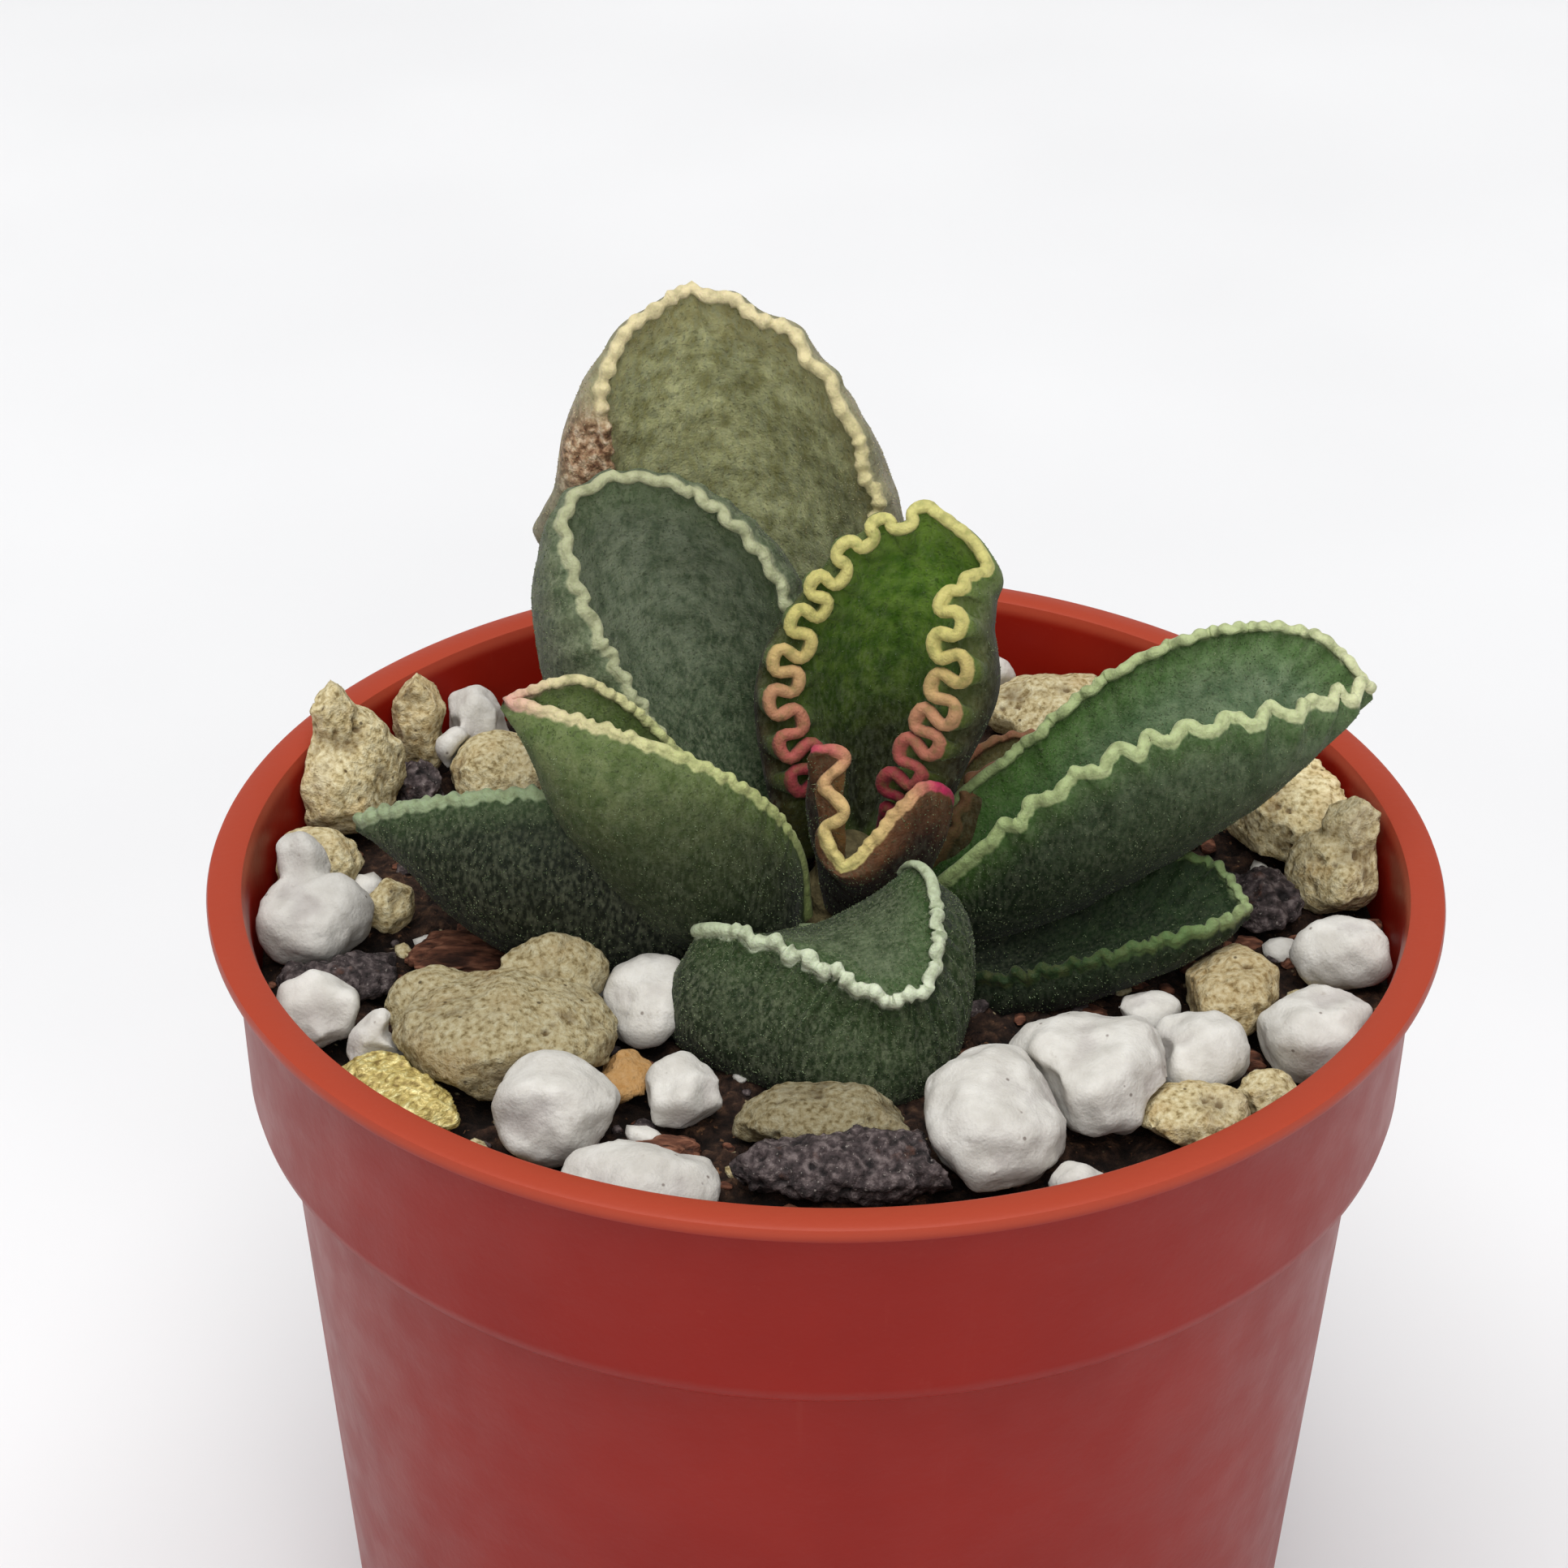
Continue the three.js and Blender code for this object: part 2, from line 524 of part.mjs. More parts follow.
// A leaf: a blade cupped between its two edges and its midrib, thick at the midrib, with a
// small rope round the edge that waves up and down and takes the blade near it along. With an
// allowance it is the plain room that the leaf takes up, out to the crests of its waves
function makeLeaf(given, seed, grow) {
  const leaf = { ...LEAF_DEFAULTS, ...given };
  const vector = ([x, y, z]) => new THREE.Vector3(x, y, z);
  const curve = (stations) =>
    new THREE.CatmullRomCurve3([...stations, leaf.tip].map(vector), false, "centripetal");
  const leftEdge = curve(leaf.left);
  const rightEdge = curve(leaf.right);
  const midrib = curve(leaf.midrib);
  const isRoom = grow > 0;
  const samples = isRoom ? ROOM_SAMPLES : Math.max(FEWEST_SAMPLES, leaf.waves * SAMPLES_PER_WAVE);
  const waveHeight = isRoom ? 0 : leaf.waveHeight;
  const rope = leaf.rope + (isRoom ? leaf.waveHeight : 0);
  const fade = THREE.MathUtils.smoothstep;
  const leftWave = makeWaves(leaf, seed);
  const rightWave = makeWaves(leaf, seed + 7);

  // One ray from the midrib to the edge for each sample: up the left edge and down the right
  const rays = [];
  for (let i = 0; i <= 2 * samples; i++) {
    const side = Math.sign(i - samples);
    const hand = side < 0 ? 0 : 1;
    const share = 1 - Math.abs(i - samples) / samples;
    const left = leftEdge.getPointAt(share);
    const right = rightEdge.getPointAt(share);
    const middle = midrib.getPointAt(share * (1 - (1 - leaf.tipReach) * share * share));
    const lateral = share < 1 ? right.clone().sub(left).normalize() : rays[i - 1].lateral;
    const bulge = leaf.bulge[hand] * Math.sin(Math.PI * share) ** 1.2;
    const taper = 1 + (leaf.waveTaper - 1) * share;
    const waveSize = leaf.waveSides[hand] * taper * fade(leaf.waveEnd[hand] - share, 0, 0.1);
    rays.push({
      side,
      share,
      middle,
      lateral,
      bulge: side * bulge,
      along: midrib.getTangentAt(share),
      edge: side > 0 ? right.clone() : left.clone(),
      half: right.clone().sub(left).multiplyScalar(side / 2),
      sag: left.clone().add(right).multiplyScalar(0.5).sub(middle),
      wave: (side < 0 ? leftWave(share) : -rightWave(share)) * waveSize,
      belly: Math.max(lengthwise(leaf.belly[hand], share), 0),
      grow: grow * (1 + (1 - share) ** 4),
    });
  }

  const onFace = (ray, share) =>
    ray.middle
      .clone()
      .addScaledVector(ray.half, share)
      .addScaledVector(ray.sag, share * share)
      .addScaledVector(ray.lateral, ray.bulge * 6.75 * share * share * (1 - share));

  // Normals of the upper face at one share of the half width, for all rays, smoothed
  const normalsAt = (share) => {
    const at = Math.max(share, 0.04);
    const near = rays.map((ray) => onFace(ray, at - 0.03));
    const far = rays.map((ray) => onFace(ray, Math.min(at + 0.03, 1)));
    let normals = rays.map((_, i) => {
      const before = far[Math.max(i - 1, 0)];
      const after = far[Math.min(i + 1, rays.length - 1)];
      return after.clone().sub(before).cross(far[i].clone().sub(near[i])).normalize();
    });
    if (share === 0) {
      normals = normals.map((n, i) => n.clone().add(normals[2 * samples - i]).normalize());
    }
    return evened(normals, 3);
  };

  // At the edge: the way it runs, straight out of the blade, and the way the waves move it
  const edgeNormals = normalsAt(1);
  rays.forEach((ray, i) => {
    const before = rays[Math.max(i - 1, 0)].edge;
    const after = rays[Math.min(i + 1, rays.length - 1)].edge;
    const run = after.clone().sub(before).normalize();
    const up = edgeNormals[i].clone().addScaledVector(run, -edgeNormals[i].dot(run)).normalize();
    const out = up.clone().cross(run).normalize();
    const blade = ray.edge.clone().sub(ray.middle);
    ray.up = up;
    ray.out = out.dot(blade) < 0 ? out.negate() : out;
    ray.length = blade.length();
    ray.sway = up.clone().addScaledVector(ray.out, leaf.sway[ray.side < 0 ? 0 : 1]).normalize();
  });
  const asides = rays.map((ray) => ray.out.clone().addScaledVector(ray.lateral, ray.side).normalize());
  evened(asides, Math.round(samples / 4)).forEach((aside, i) => {
    rays[i].aside = aside;
  });

  const drop = vector(leaf.drop);
  const faceRing = (share, upper) => {
    const normals = normalsAt(share);
    const thinning = (1 - share ** leaf.lens) ** leaf.rounding;
    const reach = upper ? WAVE_REACH : LOWER_WAVE_REACH;
    const widest = 3 / (3 + leaf.roundness);
    const bellying = (share / widest) ** 3 * ((1 - share) / (1 - widest)) ** leaf.roundness;
    return rays.map((ray, i) => {
      const fromEdge = (1 - share) * ray.length;
      const waved = ray.wave * waveHeight * Math.exp(-((fromEdge / reach) ** 2));
      const point = onFace(ray, share).addScaledVector(ray.sway, waved);
      if (upper) return point.addScaledVector(normals[i], ray.grow);
      const down = normals[i].clone().negate().addScaledVector(drop, 1 - share ** 8).normalize();
      const thickness = lengthwise(leaf.thickness, ray.share);
      const depth = leaf.edge + (thickness - leaf.edge) * thinning + ray.grow;
      const belly = ray.belly * bellying + ray.grow * share;
      return point.addScaledVector(down, depth).addScaledVector(ray.aside, belly);
    });
  };
  const ropeRing = (degrees) => {
    const angle = THREE.MathUtils.degToRad(degrees);
    const tall = Math.max(rope, leaf.edge / 2 + 0.05);
    return rays.map((ray) =>
      ray.edge
        .clone()
        .addScaledVector(ray.up, -leaf.edge / 2 + Math.sin(angle) * (tall + ray.grow))
        .addScaledVector(ray.sway, ray.wave * waveHeight)
        .addScaledVector(ray.out, Math.cos(angle) * (rope + ray.grow)),
    );
  };
  const rings = [
    ...UPPER_SHARES.map((share) => faceRing(share, true)),
    ...ROPE_ANGLES.map(ropeRing),
    ...LOWER_SHARES.map((share) => faceRing(share, false)),
  ];

  // The foot of a grown copy also reaches further into the stem
  const ends = [0, 2 * samples];
  rings.forEach((ring) => ends.forEach((i) => ring[i].addScaledVector(rays[i].along, -3 * grow)));

  // Both halves share the midrib's vertices on the upper and the lower face
  const points = [];
  const numbers = rays.map(() => []);
  rays.forEach((ray, i) => {
    rings.forEach((ring, j) => {
      const onMidrib = j === 0 || j === rings.length - 1;
      if (onMidrib && i > samples) {
        numbers[i][j] = numbers[2 * samples - i][j];
        return;
      }
      numbers[i][j] = points.length;
      points.push(ring[i]);
    });
  });
  const triangles = [];
  for (let i = 0; i < 2 * samples; i++) {
    for (let j = 0; j + 1 < rings.length; j++) {
      const [a, b] = [numbers[i][j], numbers[i + 1][j]];
      const [c, d] = [numbers[i + 1][j + 1], numbers[i][j + 1]];
      triangles.push([a, b, c], [a, c, d]);
    }
  }

  // The foot is closed by a fan from the middle of the midrib
  const foot = [...numbers[0], ...numbers[2 * samples].slice(1, -1).reverse()];
  const [upper, lower] = [points[numbers[0][0]], points[numbers[0].at(-1)]];
  points.push(upper.clone().lerp(lower, 0.5));
  foot.forEach((k, n) => triangles.push([k, foot[(n + 1) % foot.length], points.length - 1]));
  return solidFrom(points, triangles);
}

// A grain: a ball chipped by random flats and roughened by a few swells
function makeGrain(name, [x, y, z], half, turn, seed) {
  const kind = GRAIN_KINDS[name.split("_")[0]];
  const direction = (k) => {
    const height = 2 * chance(seed, k) - 1;
    const angle = 2 * Math.PI * chance(seed + 0.3, k);
    const flat = Math.sqrt(1 - height * height);
    return new THREE.Vector3(flat * Math.cos(angle), flat * Math.sin(angle), height);
  };
  const flats = Array.from({ length: kind.flats }, (_, k) => ({
    normal: direction(k),
    reach: kind.nearest + (kind.farthest - kind.nearest) * chance(seed + 0.6, k),
  }));
  const swells = Array.from({ length: 4 }, (_, k) => direction(k + 40).multiplyScalar(2.5 + 1.5 * k));
  const length = Math.max(half[0], half[1]);
  const ball =
    length < SMALL_GRAIN
      ? new THREE.DodecahedronGeometry(1)
      : new THREE.IcosahedronGeometry(1, half[1] > LARGE_GRAIN ? 2 : 1);
  ball.deleteAttribute("normal");
  ball.deleteAttribute("uv");
  const merged = mergeVertices(ball);
  const place = merged.getAttribute("position");
  const points = Array.from({ length: place.count }, (_, k) => {
    const out = new THREE.Vector3().fromBufferAttribute(place, k).normalize();
    const chipped = flats.map(({ normal, reach }) => reach / Math.max(normal.dot(out), 1e-3));
    const lump = swells.reduce((sum, s, n) => sum + Math.sin(s.dot(out) + n), 0) / swells.length;
    const radius = Math.min(1.12, ...chipped) * (1 + kind.lumps * lump);
    return out.multiplyScalar(radius).multiply(new THREE.Vector3(...half));
  });
  const triangles = Array.from({ length: merged.index.count / 3 }, (_, k) => [
    merged.index.getX(3 * k),
    merged.index.getX(3 * k + 1),
    merged.index.getX(3 * k + 2),
  ]);
  const angle = THREE.MathUtils.degToRad(turn);
  points.forEach((p) => p.applyAxisAngle(new THREE.Vector3(0, 0, 1), angle).add(new THREE.Vector3(x, y, z)));
  return solidFrom(points, triangles);
}

// A solid's copy scaled about a centre so that it reaches about one allowance further
function swollen(solid, centre, half, allowance) {
  const shift = centre.map((v) => -v);
  const scale = half.map((v) => (v + allowance) / v);
  return solid.translate(shift).scale(scale).translate(centre);
}

function boxesMeet(a, b) {
  const [first, second] = [a.boundingBox(), b.boundingBox()];
  return [0, 1, 2].every((k) => first.min[k] < second.max[k] && second.min[k] < first.max[k]);
}

// Cuts a solid clear of every neighbour that it meets
function clearOf(solid, neighbours) {
  const met = neighbours.filter((n) => boxesMeet(solid, n));
  return met.reduce((rest, n) => mainBody(rest.subtract(n)), solid);
}

const plant = new THREE.Group();

function addPiece(parent, name, solid, colour, roughness) {
  const { vertProperties, triVerts } = solid.getMesh();
  const geometry = new THREE.BufferGeometry();
  geometry.setAttribute("position", new THREE.BufferAttribute(vertProperties, 3));
  geometry.setIndex(new THREE.BufferAttribute(triVerts, 1));
  geometry.computeVertexNormals();
  const material = new THREE.MeshStandardMaterial({ color: colour, roughness, metalness: 0 });
  const mesh = new THREE.Mesh(geometry, material);
  mesh.name = name;
  parent.add(mesh);
}

const stemRoom = makeStem(GAP);
addPiece(plant, "pot", makePot(), POT_COLOUR, 0.45);
addPiece(plant, "potting_mix", makeMix(0).subtract(stemRoom), MIX_COLOUR, 1);
addPiece(plant, "stem", makeStem(0), STEM_COLOUR, 0.8);

// Each leaf is cut clear of the stem and of the leaves that stand in front of it
const leaves = new THREE.Group();
const mixRoom = makeMix(GAP);
const leafRooms = [];
Object.entries(LEAVES).forEach(([name, leaf], k) => {
  const solid = clearOf(makeLeaf(leaf, k + 1, 0), [stemRoom, mixRoom, ...leafRooms]);
  leafRooms.push(makeLeaf(leaf, k + 1, GAP));
  addPiece(leaves, name, solid, leaf.colour, 0.75);
});
plant.add(leaves);

// Grains stay inside the pot, rest on the mix, and give way to the leaves and to each other
const grains = new THREE.Group();
const potRoom = turnedSolid([...innerWall(GAP), [RIM_RADIUS - LIP_WIDTH - GAP, POT_HEIGHT + 20]], POT_SIDES);
const grainRooms = [];
GRAINS.forEach(([name, [x, y], top, [halfLength, halfWidth], turn], k) => {
  const foot = mixHeight(x, y) + GAP;
  const centre = [x, y, (top + foot) / 2];
  const half = [halfLength, halfWidth, (top - foot) / 2];
  const lobes = (GRAIN_LOBES[name] ?? []).map(([place, size], n) => makeGrain(name, place, size, turn, k + n + 50));
  const body = lobes.reduce((joined, lobe) => joined.add(lobe), makeGrain(name, centre, half, turn, k + 1));
  const whole = mainBody(body.intersect(potRoom));
  const solid = clearOf(whole, [stemRoom, mixRoom, ...leafRooms, ...grainRooms]);
  grainRooms.push(swollen(solid, centre, half, GAP));
  addPiece(grains, name, solid, GRAIN_KINDS[name.split("_")[0]].colour, 0.9);
});
plant.add(grains);

export default plant;
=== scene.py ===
"""A small succulent with felted, ropy-edged leaves in a plastic nursery pot, dressed over its frame."""
import math

import bpy
import numpy as np
from mathutils import Matrix, Quaternion, Vector, noise
from mathutils.bvhtree import BVHTree


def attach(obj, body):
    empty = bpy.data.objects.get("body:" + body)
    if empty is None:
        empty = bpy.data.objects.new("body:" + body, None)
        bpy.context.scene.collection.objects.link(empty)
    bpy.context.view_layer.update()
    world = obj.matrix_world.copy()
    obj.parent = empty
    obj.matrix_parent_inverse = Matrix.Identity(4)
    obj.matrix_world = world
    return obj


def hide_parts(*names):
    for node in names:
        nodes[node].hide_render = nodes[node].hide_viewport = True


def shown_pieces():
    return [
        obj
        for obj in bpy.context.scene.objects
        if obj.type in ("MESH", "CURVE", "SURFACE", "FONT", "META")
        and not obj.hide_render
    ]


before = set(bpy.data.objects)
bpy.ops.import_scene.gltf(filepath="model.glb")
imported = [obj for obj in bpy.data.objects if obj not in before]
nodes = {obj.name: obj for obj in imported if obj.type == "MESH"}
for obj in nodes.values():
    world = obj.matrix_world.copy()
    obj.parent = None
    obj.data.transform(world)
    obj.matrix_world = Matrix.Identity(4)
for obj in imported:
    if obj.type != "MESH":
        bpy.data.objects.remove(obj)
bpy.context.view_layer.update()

# Lengths below are in millimetres, as in the part's source
MM = 0.001

# Camera, fitted to the photograph: focal length in the photograph's own pixels, turns in degrees
PHOTO_SIDE = 1932
FOCAL_PIXELS = 4690
SENSOR_WIDTH = 36
CAMERA_PLACE = (0, -158.05, 151.88)
CAMERA_AIM = (0, 0, 54)
CAMERA_YAW = 0.64
CAMERA_PITCH = 1.06
CAMERA_ROLL = 0.77

# Pot
POT_HEIGHT = 54
RIM_RADIUS = 30
LIP_WIDTH = 1.75
LIP_THICKNESS = 0.75
COLLAR_TOP_RADIUS = 28.85
COLLAR_FOOT_RADIUS = 28.55
COLLAR_HEIGHT = 10.1
SHOULDER_HEIGHT = 1.4
BODY_TOP_RADIUS = 26.9
BASE_RADIUS = 23.9
POT_WALL = 0.8
FLOOR_THICKNESS = 1.2
POT_SIDES = 240
DRAIN_HOLES = 6
DRAIN_HOLE_RADIUS = 2.3
DRAIN_RING_RADIUS = 15.5
DRAIN_SIDES = 32
SHARP_ANGLE = 32

# Potting mix
MIX_HEIGHT = 48.7
MIX_RELIEF = 0.35
MIX_RADIUS = 27.65
MIX_COVER = 0.3
MIX_SIDES = 260
MIX_RINGS = 90
MIX_WALL_GAP = 0.3
MIX_COLLAR_GAP = 0.2
MIX_COLLAR_RISE = 1

# Crumbs of the mix: height, size and seed
MIX_CRUMBS = ((0.3, 1.7, 3), (0.22, 0.7, 4), (0.12, 0.35, 5))

# Leaf mesh: samples for each crinkle of the edge, and shares of the half width and angles round
# the edge cord that have a ring of vertices
SAMPLES_PER_CRINKLE = 7
FACE_SHARES = (0, 0.12, 0.24, 0.36, 0.47, 0.57, 0.66, 0.74, 0.8, 0.85, 0.89, 0.925, 0.955, 0.98)
ROPE_ANGLES = (125, 98, 72, 46, 20, -6, -32, -58, -84)
CURVE_STEPS = 80
NORMAL_START = 0.04
NORMAL_STEP = 0.03
NORMAL_PASSES = 300

# Leaf shape: reaches, places and gaps are distances from the edge
CORD_SINK = 0.4
WAVE_REACH = 1.3
LOWER_WAVE_REACH = 0.7
WAVE_FADE = 0.1
CRINKLE_REACH = 0.4
CRINKLE_LEAN = 1.2
CRINKLE_WOBBLE = 0.8
GROOVE_PLACE = 0.45
GROOVE_WIDTH = 0.3
SWELL_START = 0.8
UNDER_EDGE_GAP = 0.25
BULGE_SCALE = 6.75
BULGE_POWER = 1.2
DROP_POWER = 8

# Sizes of the felt's unevenness, and height and size of the lumps along the edge cord
SWELL_SIZES = (2.4, 1.0)
CORD_LUMPS = (0.05, 0.5)

# Hairs of the felt
HAIR_LENGTHS = (0.2, 0.38)
HAIR_RADIUS = 0.02
HAIR_SINK = 0.03
HAIR_EDGE_GAP = 0.3
HAIR_CROWD = 1.5
HAIR_RISE = 0.6
HAIR_SPREAD = 0.8
HAIR_LEAST_RISE = 0.25

# Cosine and sine of a third of a turn, between a hair's corners
THIRD_TURN = (-0.5, 0.87)

# Grit: how far it goes from the pot's middle and over the mix, and how high each piece lies
GRIT_SEED = 11
GRIT_REACH = 27.3
GRIT_CLIMB = 1.2
GRIT_RISE = 0.25
GRIT_RELIEF = 0.1
CHIP_THICKNESS = 0.7
ABOVE_ALL = 70

# What a leaf has where LEAVES says nothing else
LEAF_DEFAULTS = {
    "thickness": (2.6, 3.5, 1.4), "edge": 0.75, "rope": 0.34, "wave_height": 0.2,
    "wave_sides": (1, 1), "wave_taper": 1, "sway": (0, 0), "meander": 0, "wobble": 0.35,
    "wave_start": 0.2, "wave_end": (1.2, 1.2), "tip_reach": 0.85, "bulge": (0, 0),
    "belly": ((0.4, 0.4, 0.4), (0.4, 0.4, 0.4)), "roundness": 1.5, "lens": 2.4, "rounding": 1,
    "drop": (0, 0, 0), "crinkles": 24, "crinkle": 0.1, "beads": 0.1, "groove": 0.09, "swell": 0.07,
}

# Leaves: left and right edge and midrib, each from the leaf's foot in the stem to its tip.
# Thickness is at foot, middle and tip, and so is belly, for the left half and the right half.
# Pairs are also for the left and the right half
LEAVES = {
    "leaf_young": {
        "left": [(0.7, 0.8, 54), (0, -0.6, 57), (-1, -0.8, 59.8), (-2, 0, 63), (-0.6, 1.4, 67),
            (1.8, 2.5, 70.1)],
        "right": [(2.4, 0.8, 54), (2.9, -1.1, 57.6), (4.1, -1.8, 61), (5.6, -1.8, 65),
            (5.4, -0.9, 67.6), (6.2, 0.6, 69), (7.3, 1.8, 68.9), (6.7, 2.6, 69.8)],
        "midrib": [(1.6, 1.7, 53.6), (2.6, 3.4, 58), (4.4, 4.4, 65)], "tip": (4.9, 3, 71.2),
        "thickness": (1.6, 2.4, 1), "belly": ((2.6, 1.8, 0.1), (1.8, 1.3, 0)), "edge": 0.6,
        "rope": 0.32, "waves": 11, "wave_height": 1, "sway": (-0.7, -0.05), "meander": 0.4,
        "wobble": 0.25, "wave_start": 0.14, "wave_end": (1.2, 0.78), "bulge": (0.5, 0.6),
        "crinkles": 30, "crinkle": 0.02, "beads": 0.05, "wave_taper": 0.45,
    },
    "leaf_bud": {
        "left": [(3, -0.9, 52.5), (5.2, -2, 57), (5.7, -2.3, 58.9), (4.6, -2.9, 59.7), (2.5, -4, 57.9),
            (1.6, -4.4, 56.8)],
        "right": [(0.7, -0.9, 52.5), (0.1, -1.4, 58), (-0.2, -1.9, 60.9), (0.35, -2.4, 61.4),
            (0.5, -3, 60.2), (0.5, -3.7, 58.8), (0.3, -4.3, 57.3)],
        "midrib": [(1.8, -1.4, 52), (1.9, -2.6, 54)], "tip": (0.9, -4.6, 56.4),
        "thickness": (1.2, 1, 0.75), "edge": 0.6, "rope": 0.3, "waves": 7, "wave_height": 0.6,
        "wave_sides": (0.1, 1), "sway": (0.1, 0.1), "wave_start": 0.52, "lens": 3, "crinkle": 0.02,
        "beads": 0.05, "wave_end": (1.2, 0.94),
    },
    "leaf_front": {
        "left": [(2.6, -2.8, 52.5), (3.9, -4.6, 56.3), (4.8, -6.8, 57.1), (5.1, -9, 56.5),
            (5.1, -11.2, 55.5), (4.5, -12.7, 54.7)],
        "right": [(-0.6, -3.4, 52), (-4, -5, 52.8), (-6, -7.2, 54.3), (-4.8, -8.6, 55.3),
            (-2.4, -10.2, 55.6), (1, -12.3, 55.1)],
        "midrib": [(1, -3.4, 52.5), (-0.3, -6.2, 54), (1, -9.6, 55)], "tip": (2.8, -13.2, 54.5),
        "thickness": (3.5, 7.2, 6.4), "belly": ((1.3, 1.3, 1.2), (1.8, 1.9, 1.3)), "rope": 0.33,
        "waves": 10, "wave_height": 0.16, "wave_start": 0.5, "lens": 4, "rounding": 0.6,
        "drop": (0, -0.5, -1.2), "crinkle": 0.12, "beads": 0.25, "roundness": 0.6,
    },
    "leaf_front_left": {
        "left": [(-0.8, -2.2, 52), (-1.3, -3, 56), (-2.9, -4.5, 59.6), (-5.6, -5.4, 62.1),
            (-10.3, -5.2, 64)],
        "right": [(-2, -1, 52), (-4.8, -1.8, 57.5), (-7.2, -2.2, 61), (-8.9, -2.4, 63.1),
            (-10.2, -2.5, 64.2), (-11.7, -2.6, 65)],
        "midrib": [(-1.5, -1.4, 51.5), (-5, -2.8, 54.5), (-9.2, -3.6, 59.2)],
        "tip": (-14.8, -3.6, 64.6), "thickness": (3, 4.2, 1.4), "rope": 0.28, "waves": 17,
        "wave_height": 0.08, "crinkles": 32, "crinkle": 0.05,
    },
    "leaf_right": {
        "left": [(3.8, 2.2, 52), (6.4, 2.8, 55.5), (9.4, 3.4, 58), (13.9, 5, 61.4), (19, 6, 63.4),
            (23.6, 5, 63.8)],
        "right": [(4, -1.4, 52), (6.2, -3, 55.2), (10.4, -3.6, 59.8), (15.3, -2.6, 62.3),
            (21.5, -0.3, 62.6)],
        "midrib": [(4.2, 0.6, 51.5), (8, 0.6, 53.6), (15.5, 1.8, 57.6)], "tip": (26.1, 2.6, 62.4),
        "thickness": (3.2, 4.2, 1.8), "rope": 0.32, "waves": 14, "wave_height": 0.3, "wobble": 0.6,
        "crinkles": 38, "crinkle": 0.05,
    },
    "leaf_rear_left": {
        "left": [(-1.6, 1.2, 52.6), (-5.2, -0.6, 57), (-8.6, -1.2, 62.6), (-10.6, -0.3, 66),
            (-12, 1.2, 69), (-12.3, 3.2, 71.2)],
        "right": [(0, 2.6, 52.6), (-0.8, 2, 57), (-1.5, 2, 62.5), (-2.4, 3, 67), (-4.6, 4, 69.8),
            (-7.4, 4.6, 71.6)],
        "midrib": [(-1, 2.8, 52), (-5.2, 5, 58), (-8.6, 6.2, 65)], "tip": (-10.3, 4.6, 72.1),
        "thickness": (3, 4.2, 1.6), "rope": 0.28, "waves": 17, "wave_height": 0.13, "bulge": (1.6, 0.6),
        "crinkles": 34, "crinkle": 0.06, "beads": 0.16, "belly": ((0.4, 0.6, 0.2), (0.4, 0.4, 0.4)),
    },
    "leaf_back": {
        "left": [(-0.8, 5.8, 52), (-6.8, 9.2, 62), (-10.4, 8.2, 70), (-10.8, 8.8, 75),
            (-9.6, 10, 77.3)],
        "right": [(1.6, 4.4, 52), (3.2, 6.8, 62), (2.2, 7.2, 68.8), (0.1, 8.9, 74.4),
            (-2.9, 10.5, 77.4)],
        "midrib": [(0.3, 5.2, 51.5), (-2, 11, 60), (-4.6, 13, 70)], "tip": (-6.8, 11.5, 78.8),
        "thickness": (3, 4, 1.6), "belly": ((0.6, 3.4, -1.6), (1.4, 0.9, 0.2)), "rope": 0.33,
        "waves": 11, "wave_height": 0.42, "wobble": 0.5, "bulge": (2, 0.1), "swell": 0.13,
        "crinkles": 36, "crinkle": 0.08, "beads": 0.2, "wave_sides": (0.4, 1), "sway": (-0.6, -0.6),
        "wave_taper": 0.3,
    },
    "leaf_left": {
        "left": [(-2.8, -0.8, 51), (-6, -2.4, 57.6), (-10, -3.6, 59.6), (-14.1, -4.4, 60),
            (-18.7, -3.8, 59)],
        "right": [(-3.4, 1.2, 51), (-7.5, 0.6, 54), (-12, 0.2, 56.2), (-17, -0.4, 57.2)],
        "midrib": [(-3.2, 0, 50.6), (-7.5, -1.6, 52.6), (-14, -2.6, 54.2)], "tip": (-22.3, -2.5, 57.4),
        "thickness": (3, 4.2, 1.6), "rope": 0.32, "waves": 14, "wave_height": 0.07, "crinkles": 30,
        "crinkle": 0.06, "beads": 0.16,
    },
    "leaf_lower_right": {
        "left": [(4.4, -1, 50.8), (9, -0.8, 52.6), (14, -0.4, 54.2), (18.6, -1.6, 54.8)],
        "right": [(3.8, -3.6, 50.8), (7.8, -5.6, 50.8), (11.2, -6.5, 52), (15.2, -6.4, 53.3),
            (18.7, -5.2, 53.8)],
        "midrib": [(4, -2.2, 50.4), (9, -3.4, 50.4), (15, -3.6, 52)], "tip": (20.2, -4, 53.9),
        "thickness": (2.2, 2.2, 1.2), "rope": 0.28, "waves": 12, "wave_height": 0.12,
    },
    "leaf_rear_right": {
        "left": [(2.6, 3.6, 51.2), (5.4, 6.4, 53.4), (8.5, 9.2, 55.2)],
        "right": [(4.4, 1.8, 50.8), (6, 1.9, 54.2), (7.2, 3.6, 56.4), (10.2, 6.2, 56.2)],
        "midrib": [(3.8, 2.8, 50.2), (6.4, 5.4, 52.4)], "tip": (12.7, 9.6, 55.4),
        "thickness": (1.5, 2.4, 1.4), "rope": 0.27, "waves": 8, "wave_height": 0.1, "crinkles": 16,
    },
}

